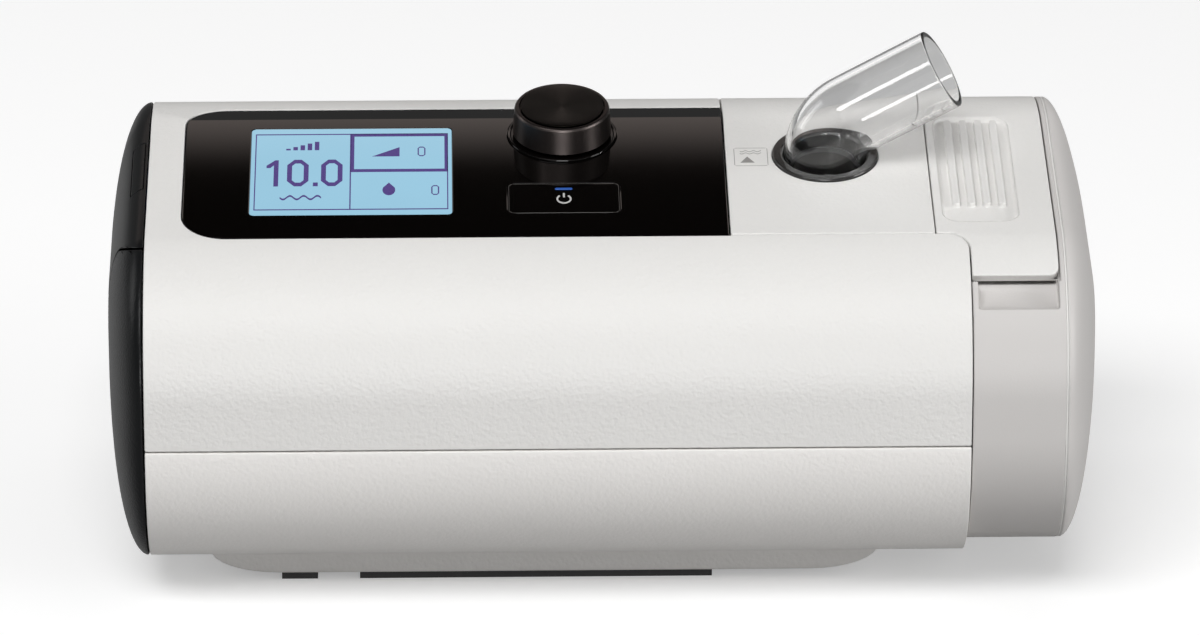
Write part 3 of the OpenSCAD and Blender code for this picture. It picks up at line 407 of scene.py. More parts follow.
def blend(tree, factor, a, b):
    """Mixes two numbers."""
    return wire(tree, "ShaderNodeMix", {"Factor": factor, 2: a, 3: b}, data_type="FLOAT").outputs[0]


def maths(tree, operation, a, b):
    """Works out one number from two."""
    return wire(tree, "ShaderNodeMath", {0: a, 1: b}, operation=operation).outputs[0]


def vector_maths(tree, operation, a, b=(0, 0, 0), out=0):
    """Works out a vector, or with out=1 a number, from one or two vectors."""
    return wire(tree, "ShaderNodeVectorMath", {0: a, 1: b}, operation=operation).outputs[out]


def object_place(tree):
    """The place on the piece that a finish is drawn by."""
    return wire(tree, "ShaderNodeTexCoord").outputs["Object"]


def shade(colour, amount):
    """A colour made lighter or darker by a share of itself."""
    return tuple(min(1.0, c * (1 + amount)) for c in colour[:3]) + (1.0,)


def moulded(name, colour, rough, grain=900.0, bump=0.00004, cells=0.0, tone=0.02, rough_swing=0.04,
            metal=0.0, ior=1.5, specular=0.5, coat=0.0, extra=None):
    """A moulded or machined finish: colour and gloss vary a little, and a fine grain stands out."""
    mat = bpy.data.materials.new(name)
    mat.use_nodes = True
    mat.diffuse_color = tuple(colour[:3]) + (1.0,)
    tree = mat.node_tree
    bsdf = tree.nodes["Principled BSDF"]
    where = object_place(tree)
    cloud = wire(tree, "ShaderNodeTexNoise", {"Vector": where, "Scale": 35.0, "Detail": 4.0})
    tint = mix(tree, cloud.outputs["Fac"], shade(colour, -tone), shade(colour, tone))
    tree.links.new(tint, bsdf.inputs["Base Color"])
    fine = wire(tree, "ShaderNodeTexNoise",
                {"Vector": where, "Scale": grain, "Detail": 3.0, "Roughness": 0.6})
    gloss = wire(tree, "ShaderNodeMapRange", {"Value": fine.outputs["Fac"], "To Min": rough - rough_swing,
                                              "To Max": rough + rough_swing})
    tree.links.new(gloss.outputs["Result"], bsdf.inputs["Roughness"])
    height = fine.outputs["Fac"]
    if cells:
        pebble = wire(tree, "ShaderNodeTexVoronoi", {"Vector": where, "Scale": cells}, feature="SMOOTH_F1")
        height = maths(tree, "ADD", pebble.outputs["Distance"], height)
    if bump:
        relief = wire(tree, "ShaderNodeBump", {"Height": height, "Strength": 1.0, "Distance": bump})
        tree.links.new(relief.outputs["Normal"], bsdf.inputs["Normal"])
    bsdf.inputs["Metallic"].default_value = metal
    bsdf.inputs["IOR"].default_value = ior
    bsdf.inputs["Specular IOR Level"].default_value = specular
    bsdf.inputs["Coat Weight"].default_value = coat
    bsdf.inputs["Coat Roughness"].default_value = 0.05
    if extra:
        extra(tree, bsdf, where)
    FINISHES[name] = mat
    return mat


def clear(name, colour, rough, weight):
    """A clear moulding with faint flow marks."""
    mat = moulded(name, colour, rough, grain=60.0, bump=0.00001, tone=0.0, rough_swing=0.01, ior=1.49)
    mat.node_tree.nodes["Principled BSDF"].inputs["Transmission Weight"].default_value = weight
    return mat


def spun_marks(tree, bsdf, where):
    """Fine rings turned into the knob's cap, and the streaks that they give."""
    arm = vector_maths(tree, "SUBTRACT", where, tuple(on_panel(*KNOB)))
    side = vector_maths(tree, "CROSS_PRODUCT", arm, tuple(PANEL_UP))
    reach = maths(tree, "MULTIPLY", vector_maths(tree, "LENGTH", side, out=1), 9000.0)
    rings = wire(tree, "ShaderNodeTexNoise", {"W": reach, "Scale": 1.0, "Detail": 2.0}, noise_dimensions="1D")
    relief = wire(tree, "ShaderNodeBump",
                  {"Height": rings.outputs["Fac"], "Strength": 0.5, "Distance": 0.00001})
    tree.links.new(relief.outputs["Normal"], bsdf.inputs["Normal"])
    tree.links.new(vector_maths(tree, "NORMALIZE", side), bsdf.inputs["Tangent"])
    bsdf.inputs["Anisotropic"].default_value = 0.85


def glow(name, colour, strength, base):
    """A lit surface behind clear plastic, with a faint unevenness of its backlight."""
    mat = moulded(name, base, 0.25, grain=200.0, bump=0.0, tone=0.03, coat=0.3)
    tree = mat.node_tree
    bsdf = tree.nodes["Principled BSDF"]
    cloud = wire(tree, "ShaderNodeTexNoise", {"Vector": object_place(tree), "Scale": 30.0, "Detail": 2.0})
    light = mix(tree, cloud.outputs["Fac"], shade(colour, -0.05), shade(colour, 0.05))
    tree.links.new(light, bsdf.inputs["Emission Color"])
    bsdf.inputs["Emission Strength"].default_value = strength
    return mat


# ---- settings ----


def colour_of(name, description, default):
    """A colour among the settings."""
    return FloatVectorProperty(name=name, description=description, default=default, size=3, subtype="COLOR",
                               min=0, max=1)


def strength_of(name, description, default):
    """A lamp's or a card's strength among the settings."""
    return FloatProperty(name=name, description=description, default=default, min=0)


class MachineColours(PropertyGroup):
    """Colours of the visible mouldings."""

    white: colour_of("White casing", "Upper casing, outlet panel and lid", (0.80, 0.79, 0.77))
    warm: colour_of("Lower casing", "Lower casing and foot block", (0.92, 0.90, 0.875))
    grey: colour_of("Humidifier shell", "Shell and end cover of the humidifier", (0.62, 0.60, 0.585))
    black: colour_of("Black end", "Left end cap and its doors", (0.006, 0.0065, 0.007))
    screen: colour_of("Screen", "Backlight of the screen", (0.315, 0.59, 0.76))
    ink: colour_of("Screen ink", "Dark dots of the screen", (0.085, 0.05, 0.25))


class MachineDetails(PropertyGroup):
    """Sizes of the details that the frame leaves plain."""

    edge: FloatProperty(name="Edge rounding", description="Rounding of the casing's edges", default=0.0004,
                        min=0.0001, max=0.001, unit="LENGTH")
    groove: FloatProperty(name="Seam", description="Width of the seams", default=0.0004,
                          min=0.0002, max=0.001, unit="LENGTH")
    dome_rings: IntProperty(name="Dome rings", description="Rings of faces on each domed end", default=26,
                            min=8, max=60)


class StageSettings(PropertyGroup):
    """Camera and lamps."""

    pitch: FloatProperty(name="Camera pitch", description="Angle that the camera looks down",
                         default=math.radians(20), subtype="ANGLE")
    yaw: FloatProperty(name="Camera yaw", description="Turn of the camera round the machine",
                       default=math.radians(-1.2), subtype="ANGLE")
    distance: FloatProperty(name="Camera distance",
                            description="Distance from the camera to the machine's middle",
                            default=2.045, min=0.5, unit="LENGTH")
    focal: FloatProperty(name="Focal length", description="Focal length on a 36 mm sensor, in millimetres",
                         default=228.4, min=20)
    key: strength_of("Key lamp", "Strength of the large lamp in front", 77.0)
    top: strength_of("Top lamp", "Strength of the lamp above", 3.0)
    side: strength_of("Side lamps", "Strength of the lamps at the two ends", 20.0)
    front: strength_of("Front card", "Strength of the small card that the knob reflects", 26.0)
    spark: strength_of("Spark", "Strength of the small card that the clear elbow reflects", 2.4)
    fill: strength_of("Fill", "Strength of the even light from all round", 0.18)
    gloss: strength_of("Reflected room", "Strength of the room as gloss reflects it", 0.12)
    card: strength_of("Lens card", "Strength of the card that the lens reflects", 1.0)
    paper: strength_of("Floor tone", "White added to the floor as the camera sees it", 0.34)


# ---- operators ----


class THERAPY_OT_finishes(Operator):
    """Make the finishes and give one to every node of the frame"""

    bl_idname = "therapy.finishes"
    bl_label = "Finishes"

    def execute(self, context):
        c = context.scene.therapy_colours
        moulded("white_shell", c.white, 0.46, grain=1500, cells=900, bump=0.00009, tone=0.012)
        moulded("warm_grey_shell", c.warm, 0.48, grain=1500, cells=900, bump=0.00008, tone=0.012)
        moulded("grey_shell", c.grey, 0.5, grain=2200, bump=0.00003, tone=0.015)
        moulded("black_gloss", (0.012, 0.011, 0.011), 0.16, grain=700, bump=0.000004, tone=0.1,
                rough_swing=0.02)
        moulded("black_satin", c.black, 0.3, grain=2500, bump=0.00001, tone=0.08, specular=0.22)
        moulded("black_grain", shade(c.black, 0.3), 0.3, grain=1800, cells=1300, bump=0.00005, tone=0.1,
                specular=0.14)
        moulded("lens_black", (0.0022, 0.0018, 0.0016), 0.06, grain=300, bump=0.0, tone=0.1,
                rough_swing=0.006)
        glow("lcd", c.screen, 0.93, (0.02, 0.03, 0.04))
        moulded("screen_ink", c.ink, 0.3, grain=900, bump=0.0, tone=0.05)
        moulded("spun_black_metal", (0.018, 0.016, 0.014), 0.30, grain=900, bump=0.0, tone=0.02, metal=1.0,
                extra=spun_marks)
        moulded("smoked_plastic", (0.03, 0.029, 0.028), 0.09, grain=400, bump=0.000004, tone=0.08)
        moulded("knob_metal", (0.075, 0.064, 0.061), 0.36, grain=2600, bump=0.000006, tone=0.06, metal=1.0)
        clear("clear_plastic", (0.985, 0.985, 0.985), 0.02, 1.0)
        clear("tub_plastic", (0.85, 0.90, 0.93), 0.08, 0.9)
        moulded("steel", (0.55, 0.55, 0.56), 0.3, grain=1200, bump=0.00001, metal=1.0)
        moulded("heater_alu", (0.66, 0.66, 0.67), 0.38, grain=900, bump=0.00001, metal=1.0)
        moulded("silicone", (0.09, 0.09, 0.095), 0.55, grain=900, bump=0.00002, tone=0.05)
        moulded("black_rubber", (0.015, 0.015, 0.015), 0.7, grain=900, bump=0.00004, tone=0.1)
        glow("blue_led", (0.03, 0.12, 0.5), 0.55, (0.01, 0.04, 0.15))
        moulded("pcb", (0.015, 0.09, 0.04), 0.35, grain=400, bump=0.00001, tone=0.1)
        moulded("foam", (0.05, 0.055, 0.06), 0.9, grain=700, cells=600, bump=0.0003, tone=0.25)
        moulded("dark_plastic", (0.03, 0.03, 0.032), 0.5, grain=1200, bump=0.00003, tone=0.08)
        moulded("grey_plastic", (0.36, 0.35, 0.34), 0.5, grain=1200, bump=0.00003, tone=0.05)
        moulded("card_blue", (0.02, 0.03, 0.12), 0.4, grain=900, bump=0.00001, tone=0.05)
        moulded("icon_grey", (0.55, 0.55, 0.54), 0.4, grain=900, bump=0.0, tone=0.03)
        # grey of the engraved sign: painted shade of its grooves, given as a colour
        moulded("engraved_sign_painted_shade", (0.30, 0.29, 0.28), 0.6, grain=900, bump=0.0, tone=0.05)
        moulded("outline_grey", (0.05, 0.048, 0.045), 0.3, grain=900, bump=0.0, tone=0.05)
        slots = {p["node"]: p["material_slot"] for p in frame["record"]["subparts"]}
        for name, obj in frame["nodes"].items():
            obj.data.materials.clear()
            obj.data.materials.append(FINISHES[slots[name]])
        return {"FINISHED"}


def side_panel_plan(g):
    """The front lower part of the left end, in the Y-Z plane, moved inwards by g."""
    return [(-140.0, -1.0), (-28.0 - g, -1.0)] + arc(-41 - g, 82 - g, 13, 0, 70, 12) + [(-140.0, 131.8 - g)]


def socket_hole(g):
    """The power socket's opening in the back, g larger than the socket."""
    return box("hole", (12 - g, 58, 51.5 - g), (28 + g, 80, 64.5 + g))


def lens_plan(g):
    """The lens from above, moved outwards by g: rounded at its left end, square at its right."""
    y0, y1, r = PANEL_FRONT_Y - g, LENS_BACK_Y + g, LENS_CORNER + g
    x0, x1 = LENS_X[0] - g, LENS_X[1] + g
    left_end = arc(x0 + r, y1 - r, r, 90, 180, 16) + arc(x0 + r, y0 + r, r, 180, 270, 16)
    return [(x1, y1)] + left_end + [(x1, y0)]


def top_plan(x0, x1, g):
    """Everything behind the front casing's upper edge, right of x0."""
    y0 = PANEL_FRONT_Y
    return [(x0, y0 + g)] + arc(CASING_X[1] - 6, y0 - 6, 6 + g, 90, 0, 12) + [
        (CASING_X[1] + g, -140), (x1, -140), (x1, 140), (x0, 140)]


def radial(name, c, a, ahead, reach=300):
    """A half-space in front of or behind the radial plane at angle a through an arc's centre."""
    a = math.radians(a)
    out = (math.cos(a), math.sin(a))
    side = (out[1], -out[0]) if not ahead else (-out[1], out[0])
    p = [(c[0] + out[0] * u + side[0] * v, c[1] + out[1] * u + side[1] * v)
         for u, v in ((-reach, 0), (reach, 0), (reach, reach), (-reach, reach))]
    return side_block(name, p, -reach, reach)


class THERAPY_OT_casing(Operator):
    """Model the upper and lower casing"""

    bl_idname = "therapy.casing"
    bl_label = "Casing"

    def execute(self, context):
        d = context.scene.therapy_details
        half_groove, edge = d.groove * 500, d.edge * 1000
        upper = wrap("upper_shell", *CASING_X, 0, CASING_WALL)
        carve(upper, box("below", (-FAR, -FAR, -10), (FAR, FAR, SEAM_Z + half_groove)))
        carve(upper, plan("lens_bed", lens_plan(0.25), *LENS_CUT_Z))
        bed = plan("outlet_bed", top_plan(LENS_X[1], 140, 0), SEAM_Z + 0.5, 170)
        carve(upper, trim(bed, radial("front_of_edge", BACK_TOP, OUTLET_PANEL_BACK, True)))
        carve(upper, socket_hole(0.2))
        soften(upper, edge)
        finish(upper, "main_unit", "white_shell", node="upper_casing")
        lower = wrap("lower_shell", *CASING_X, 0, CASING_WALL)
        carve(lower, box("above", (-FAR, -FAR, SEAM_Z - half_groove), (FAR, FAR, FAR)))
        soften(lower, edge)
        finish(lower, "main_unit", "warm_grey_shell", node="lower_casing")
        return {"FINISHED"}


class THERAPY_OT_outlet_panel(Operator):
    """Model the panel round the hose outlet, with its engraved sign drawn as a flat mark in painted shade"""

    bl_idname = "therapy.outlet_panel"
    bl_label = "Outlet panel"

    def execute(self, context):
        d = context.scene.therapy_details
        x0, x1 = OUTLET_PANEL_X
        panel = wrap("outlet_cover", x0, x1, 0, CASING_WALL)
        trim(panel, plan("outlet_plan", rounded(x0, PANEL_FRONT_Y + 0.404, x1, 140, 0.6), 80, 170))
        trim(panel, radial("front_of_gap", BACK_TOP, OUTLET_PANEL_BACK + 0.9, True))
        carve(panel, panel_block("collar_hole", circle(OUTLET, COLLAR_HOLE_R), -20, 20))
        soften(panel, d.edge * 1000)
        finish(panel, "main_unit", "white_shell", node="outlet_panel")
        # the engraved sign, a frame round an arrow and two waves of air, drawn flat on the surface; its grey
        # is painted shade standing for the shade in the grooves
        signs = [frame_mark("sign", 35.6, 16.9, 44.6, 26.3, 0.16, 0.16, 0.5, *SIGN_H),
                 panel_block("sign", [(37.2, 24.6), (39.1, 21.4), (41.0, 24.6)], *SIGN_H)]
        for i in range(2):
            wave = [(37.2 + 0.3 * j, 18.5 + 1.15 * i + 0.3 * math.sin(j * 0.9)) for j in range(20)]
            signs.append(panel_block("sign", thick(wave, 0.25), *SIGN_H))
        finish(join("outlet_sign", *signs), "main_unit", "white_shell", "engraved_sign_painted_shade")
        return {"FINISHED"}


def dome_skin(name, shape, inset, floor, rings):
    """One skin of a domed end: the cross-section extruded and shrunk ring by ring."""
    x0, bulge, side, middle, fullness = shape
    obj = loop(name, ring(x0, inset, floor))
    with editing(obj, "EDGE"):
        for i in range(1, rings + 1):
            t0, t1 = (math.radians(DOME_SWEEP * (i + k) / rings) for k in (-1, 0))
            extrude(at(side * (bulge - inset) * (math.sin(t1) - math.sin(t0)), 0, 0))
            shrink = (math.cos(t1) / math.cos(t0)) ** fullness
            bpy.ops.transform.resize(value=(1, shrink, shrink), center_override=tuple(at(x0, 0, middle)))
        bpy.ops.mesh.edge_face_add()
    return obj


def choose_rim(obj, shape):
    """In edit mode, selects the edges that lie in the plane of a dome's rim."""
    choose(obj, lambda co: abs(co.x - shape[0] / 1000) < 1e-6, "EDGE")


def dome(name, shape, floor, rings):
    """A domed shell: two skins joined by a flat rim."""
    obj = join(name, dome_skin("outer", shape, 0, floor, rings),
               dome_skin("inner", shape, DOME_WALL, floor, rings // 2))
    with editing(obj):
        choose_rim(obj, shape)
        bpy.ops.mesh.fill()
        face_outwards()
    return obj


def twin(obj, name):
    """A copy of a piece with its own mesh."""
    other = obj.copy()
    other.data = obj.data.copy()
    other.name = name
    bpy.context.scene.collection.objects.link(other)
    return other


class THERAPY_OT_left_end(Operator):
    """Model the black left end: cap, side panel, card door, ribbed filter cover and the filter under it"""

    bl_idname = "therapy.left_end"
    bl_label = "Left end"

    def execute(self, context):
        rings = context.scene.therapy_details.dome_rings
        cap = dome("cap_shell", LEFT_DOME, CASING_FLOOR, rings)
        panel, door, cover = twin(cap, "side_shell"), twin(cap, "door_skin"), twin(cap, "filter_grille")
        carve(cap, side_block("panel_bed", side_panel_plan(-0.4), *PANEL_CUT_X))
        carve(cap, side_block("filter_bed", rounded(*grown(FILTER, FILTER_GAP), 4.75), *COVER_CUT_X))
        carve(cap, panel_block("door_bed", rounded(*grown(DOOR, DOOR_GAP), 0.45), *DOOR_CUT_H))
        soften(cap, 0.3)
        finish(cap, "main_unit", "black_satin", node="left_end_cap")
        trim(panel, side_block("panel_plan", side_panel_plan(0), *PANEL_CUT_X))
        soften(panel, 0.35)
        finish(panel, "main_unit", "black_grain", node="side_panel")
        trim(door, panel_block("door_plan", rounded(*DOOR, 0.4), *DOOR_CUT_H))
        soften(door, 0.2)
        finish(door, "card_door", "black_satin", node="card_door")
        trim(cover, side_block("cover_plan", rounded(*FILTER, 4.5), *COVER_CUT_X))
        slot = box("slots", (-140, -22.5, 29.6), (-121, 22.5, 30.4))
        carve(cover, row(slot, FILTER_SLOTS, at(0, 0, SLOT_PITCH)))
        soften(cover, 0.1, 1)
        finish(cover, "filter_cover", "black_grain", node="filter_cover")
        inside = dome_skin("inside", LEFT_DOME, 2.8, CASING_FLOOR, rings // 2)
        with editing(inside):
            choose_rim(inside, LEFT_DOME)
            bpy.ops.mesh.edge_face_add()
            face_outwards()
        pad = trim(side_block("filter_pad", rounded(*grown(FILTER, -1.5), 4), -131, -126.7), inside)
        soften(pad, 0.3)
        finish(pad, "main_unit", "foam", node="air_filter")
        return {"FINISHED"}


class THERAPY_OT_right_end(Operator):
    """Model the humidifier's end cover, the white line round its rim (a painted highlight) and the shell with
    its finger scoop
    """

    bl_idname = "therapy.right_end"
    bl_label = "Right end"

    def execute(self, context):
        cover = dome("end_shell", RIGHT_DOME, SHELL_FLOOR, context.scene.therapy_details.dome_rings)
        soften(cover, 0.4)
        finish(cover, "humidifier", "grey_shell", node="end_cover")
        # a thin band round the end cover's rim, standing for its lip, in the white casing's finish: the white
        # is a painted highlight of the light that the lip catches
        line = wrap("cover_rim_painted_highlight", RIGHT_DOME[0] - 0.4, RIGHT_DOME[0], 0.1, 1.4, SHELL_FLOOR)
        finish(line, "humidifier", "grey_shell", "white_shell")
        shell = dressed_copy("chamber_shell", "chamber_skin", 0)
        hollow = side_block("finger_scoop", arc(-60.4, 92.8, 7.7, 0, 360, 48)[:-1], 97.3, 118.4)
        soften(hollow, 0.7, 3, angle=60)
        carve(shell, hollow)
        soften(shell, 0.3)
        finish(shell, "humidifier", "grey_shell", node="chamber_shell")
        return {"FINISHED"}


def lid_corner(name, g, h0, h1):
    """The bit outside the rounding of the lid's front corner, g away from the lid."""
    a = math.radians(LID_FRONT)
    out, down = Vector((0, math.cos(a), math.sin(a))), Vector((0, -math.sin(a), math.cos(a)))
    tip = at(LID_X[1], FRONT_TOP[0], FRONT_TOP[1]) + out * FRONT_TOP[2] / 1000
    r = LID_CORNER_R
    points = [(g, -r), (g, g)] + [(-r, g)] + [(x, t) for x, t in arc(-r, -r, r + g, 90, 0, 8)][1:-1]
    return prism(name, [tip + at(x, 0, 0) + down * t / 1000 + out * h0 / 1000 for x, t in points],
                 out * (h1 - h0) / 1000)


class THERAPY_OT_lid(Operator):
    """Model the humidifier's lid with its raised ribs"""

    bl_idname = "therapy.lid"
    bl_label = "Lid"

    def execute(self, context):
        lid = wrap("lid_shell", *LID_X, 0, 2.8)
        trim(lid, plan("lid_plan", top_plan(LID_X[0], 140, 0.4), 60, 170))
        trim(lid, radial("behind_front", FRONT_TOP, LID_FRONT, False))
        trim(lid, radial("ahead_of_back", BACK_TOP, LID_BACK, True))
        carve(lid, lid_corner("corner", 0, -6, 3))
        # the shallow recess, with the ribs left standing in it
        scoop = panel_block("thumb_scoop", rounded(89.5, 1.5, 109.5, 55.5, 4.3), -1.3, 5)
        soften(scoop, 1.25, 4, angle=60)
        rib = panel_block("rib", rounded(92.4, 2.5, 94.45, 46.5, 1.02), -3, 6)
        carve(lid, carve(scoop, row(rib, RIBS, at(RIB_PITCH, 0, 0))))
        soften(lid, 0.38, 3, smooth=30)
        inside = dressed_copy("humidifier_lid", "lid_inside", 0.15)
        trim(inside, bar("inner_room", 80, 125, 2.75))
        finish(join("lid_shell", lid, inside), "lid", "white_shell", node=("humidifier_lid", "lid_grip"))
        return {"FINISHED"}


class THERAPY_OT_lens(Operator):
    """Model the gloss lens over the display"""

    bl_idname = "therapy.lens"
    bl_label = "Lens"

    def execute(self, context):
        lens = wrap("lens_plate", LENS_X[0] - 1, LENS_X[1] + 1, 0.15, 2.15)
        trim(lens, plan("lens_plan", lens_plan(0), *LENS_CUT_Z))
        carve(lens, panel_block("window", rounded(*about(*SCREEN), 1.3), -0.75, 5))
        carve(lens, panel_block("knob_hole", circle(KNOB, KNOB_HOLE_R), -20, 20))
        key_hole = grown(about(*BUTTON, *BUTTON_SIZE), 0.25)
        carve(lens, panel_block("button_hole", rounded(*key_hole, 2.25), -20, 20))
        soften(lens, 0.25, smooth=9)
        finish(lens, "main_unit", "lens_black", node="display_lens")
        return {"FINISHED"}


def thick(line, t):
    """A line drawn on the panel, made t thick down the slope."""
    return line + [(x, s + t) for x, s in reversed(line)]


def frame_mark(name, x0, s0, x1, s1, wx, ws, cut=0.0, h0=0.0, h1=0.02):
    """A printed frame or zero on the panel, with its corners cut off."""
    def eight(g, k):
        """The eight corners, moved inwards by g line widths."""
        a, b, c, e = x0 + wx * g, s0 + ws * g, x1 - wx * g, s1 - ws * g
        cx, cs = max(cut * k, 0.02), max(cut * k * ws / wx, 0.02)
        return [(a + cx, b), (c - cx, b), (c, b + cs), (c, e - cs),
                (c - cx, e), (a + cx, e), (a, e - cs), (a, b + cs)]
    outer, inner = ([on_panel(px, ps, h0) for px, ps in eight(g, k)] for g, k in ((0, 1), (1, 0.45)))
    return sleeve(name, outer, inner, PANEL_UP * (h1 - h0) / 1000)


class THERAPY_OT_screen(Operator):
    """Model the screen with its plain numbers and signs"""

    bl_idname = "therapy.screen"
    bl_label = "Screen"

    def execute(self, context):
        face = panel_block("screen_face", rounded(*grown(about(*SCREEN), -0.05), 1.3), -0.74, -0.2)
        soften(face, 0.06)
        finish(face, "main_unit", "lcd")
        # the frame of the whole screen, the bolder frame of its chosen field and the line between the fields
        marks = [
            frame_mark("m", -91.8, 7.7, -40.5, 47.3, 0.3, 0.5, 0, *INK_H),
            frame_mark("m", -66.4, 7.7, -40.5, 27.8, 0.95, 1.5, 0, *INK_H),
            panel_block("m", corners_of(-66.6, 7.7, -66.25, 47.3), *INK_H),
        ]
        # the large number: a one, a point and two zeros, and a small zero in each field
        one = [(-88.7, 24.2), (-86.4, 21.4), (-85.5, 21.4), (-85.5, 35), (-86.75, 35), (-86.75, 24),
               (-87.7, 25.4), (-88.7, 25.4)]
        marks.append(panel_block("m", one, *INK_H))
        marks.append(panel_block("m", corners_of(-76.3, 33.1, -75.0, 35), *INK_H))
        for x0 in (-83.2, -74.2):
            marks.append(frame_mark("m", x0, 21.2, x0 + 5.7, 35, 1.3, 1.9, 1.9, *INK_H))
        for x0, s0 in ((-48.6, 14.7), (-45.0, 34.9)):
            marks.append(frame_mark("m", x0, s0, x0 + 2.1, s0 + 5.0, 0.34, 0.5, 0.6, *INK_H))
        # rising bars above the large number
        for i in range(5):
            bar_place = (-83.6 + 1.9 * i, 15.4 - 0.9 * i, -82.4 + 1.9 * i, 16.2)
            marks.append(panel_block("m", corners_of(*bar_place), *INK_H))
        # a low wave under it
        wave = [(-85 + 0.15 * i, 40.4 + 0.9 * math.sin(i * 0.26)) for i in range(74)]
        marks.append(panel_block("m", thick(wave, 0.9), *INK_H))
        # ramp and droplet signs
        marks.append(panel_block("m", [(-60.7, 19.7), (-53.4, 14.9), (-53.4, 19.7)], *INK_H))
        belly = arc(-56.2, 37.4, 1.7, -30, 210, 14)
        drop = [(-56.2, 33.4)] + [(px, 37.2 + (ps - 37.4) * 1.6) for px, ps in belly]
        marks.append(panel_block("m", drop, *INK_H))
        finish(join("screen_signs", *marks), "main_unit", "lcd", "screen_ink")
        return {"FINISHED"}


class THERAPY_OT_knob(Operator):
    """Model the knob: ring, skirt and spun cap"""

    bl_idname = "therapy.knob"
    bl_label = "Knob"

    def execute(self, context):
        ring_piece = turned("knob_ring", [
            (4.2, -2.65), (14.5, -2.65), (14.5, 0.1), (14.42, 0.28), (14.25, 0.35), (14.0, 0.32),
            (13.75, 0.2), (13.6, 0.05), (4.2, 0.05)], KNOB)
        soften(ring_piece, 0)
        finish(ring_piece, "main_unit", "black_gloss", "lens_black", node="knob_bezel")
        skirt = turned("knob_skirt", [
            (3.0, 1.8), (5.0, 1.8), (5.0, 6.0), (10.6, 6.0), (11.6, 1.2), (13.0, 1.2), (13.17, 1.32),
            (13.14, 1.6), (12.72, 7.75), (12.62, 8.15), (12.35, 8.5), (11.95, 8.6), (11.5, 8.58),
            (11.42, 8.4), (11.4, 7.8), (0.01, 7.8), (0.01, 6.3), (3.0, 6.3)], KNOB)
        soften(skirt, 0)
        finish(skirt, "knob", "black_gloss", "knob_metal", node="knob_body")
        cap = turned("knob_disc", [
            (0.01, 7.8), (11.1, 7.8), (11.1, 8.75), (11.05, 8.92), (10.9, 9.0), (9.0, 9.03), (6.0, 9.0),
            (3.0, 8.96), (0.01, 8.94)], KNOB)
        soften(cap, 0)
        finish(cap, "knob", "spun_black_metal", node="knob_cap")
        return {"FINISHED"}


class THERAPY_OT_button(Operator):
    """Model the power button with its light and sign"""

    bl_idname = "therapy.button"
    bl_label = "Power button"

    def execute(self, context):
        x, s = BUTTON
        outline_of_key = about(*BUTTON, *BUTTON_SIZE)
        slit = (x - 2.3, s - 5.4, x + 2.3, s - 4.4)
        key = panel_block("button_key", rounded(*outline_of_key, 2), -2.15, -0.15)
        carve(key, panel_block("light_hole", rounded(*slit, 0.45), -10, 10))
        soften(key, 0.2)
        finish(key, "power_button", "black_gloss", "lens_black", node="power_button")
        light = panel_block("button_light", rounded(*grown(slit, -0.02), 0.43), -3, -0.12)
        soften(light, 0.08)
        finish(light, "power_button", "blue_led", node="led_light_guide")

        def bow(w, h, start, turn):
            """A stretch of the sign's ring."""
            turns = [math.radians(start + turn * i / 30) for i in range(31)]
            return [(x + w * math.sin(a), s + 0.4 - h * math.cos(a)) for a in turns]
        # an open ring and the stroke through its gap
        open_ring = bow(2.0, 2.45, 38, 284) + bow(1.55, 1.75, 322, -284)
        stroke = corners_of(x - 0.25, s - 2.6, x + 0.25, s - 0.4)
        sign = join("button_sign", panel_block("s", open_ring, *BUTTON_SIGN_H),
                    panel_block("s", stroke, *BUTTON_SIGN_H))
        finish(sign, "power_button", "black_gloss", "icon_grey")
        line = frame_mark("button_line", *outline_of_key, 0.16, 0.16, 1.2, -0.16, -0.14)
        finish(line, "power_button", "black_gloss", "outline_grey")
        return {"FINISHED"}


class THERAPY_OT_outlet(Operator):
    """Model the collar and the clear elbow of the hose outlet"""

    bl_idname = "therapy.outlet"
    bl_label = "Hose outlet"

    def execute(self, context):
        collar = dressed_copy("outlet_collar", "outlet_ring", 0.2)
        finish(collar, "main_unit", "smoked_plastic", node="outlet_collar")
        origin = on_panel(*OUTLET)
        up, right = PANEL_UP, Vector((1, 0, 0))
        side = up.cross(right)
        base = origin - up * SPIGOT / 1000
        elbow = loop("clear_elbow", [base + (right * math.cos(a) + side * math.sin(a)) * ELBOW_R / 1000
                                     for a in [math.tau * i / 72 for i in range(72)]])
        pivot = origin + up * BEND_H / 1000 + right * BEND_R / 1000
        with editing(elbow, "EDGE"):
            extrude(up * (SPIGOT + BEND_H) / 1000)
            bpy.ops.mesh.spin(steps=24, angle=BEND, center=pivot, axis=-side)
            extrude((up * math.cos(BEND) + right * math.sin(BEND)) * STRAIGHT / 1000)
            face_outwards()
        # an open tube has no inside, so its straight part says which way the faces look
        arms = [(p.center - base, p.normal) for p in elbow.data.polygons]
        low = [(arm, normal) for arm, normal in arms if arm.dot(up) < SPIGOT / 1000]
        if sum((arm - up * arm.dot(up)).dot(normal) for arm, normal in low) < 0:
            with editing(elbow):
                bpy.ops.mesh.flip_normals()
        apply(elbow, "SOLIDIFY", thickness=ELBOW_WALL / 1000, offset=-1)
        soften(elbow, 0.45, 3)
        finish(elbow, "elbow", "clear_plastic", node="outlet_elbow")
        return {"FINISHED"}


class THERAPY_OT_base(Operator):
    """Model the foot block under the casing"""

    bl_idname = "therapy.base"
    bl_label = "Base"

    def execute(self, context):
        block = dressed_copy("pedestal", "foot_block", 0.5)
        finish(block, "main_unit", "warm_grey_shell", node="pedestal")
        return {"FINISHED"}


# ---- stage ----

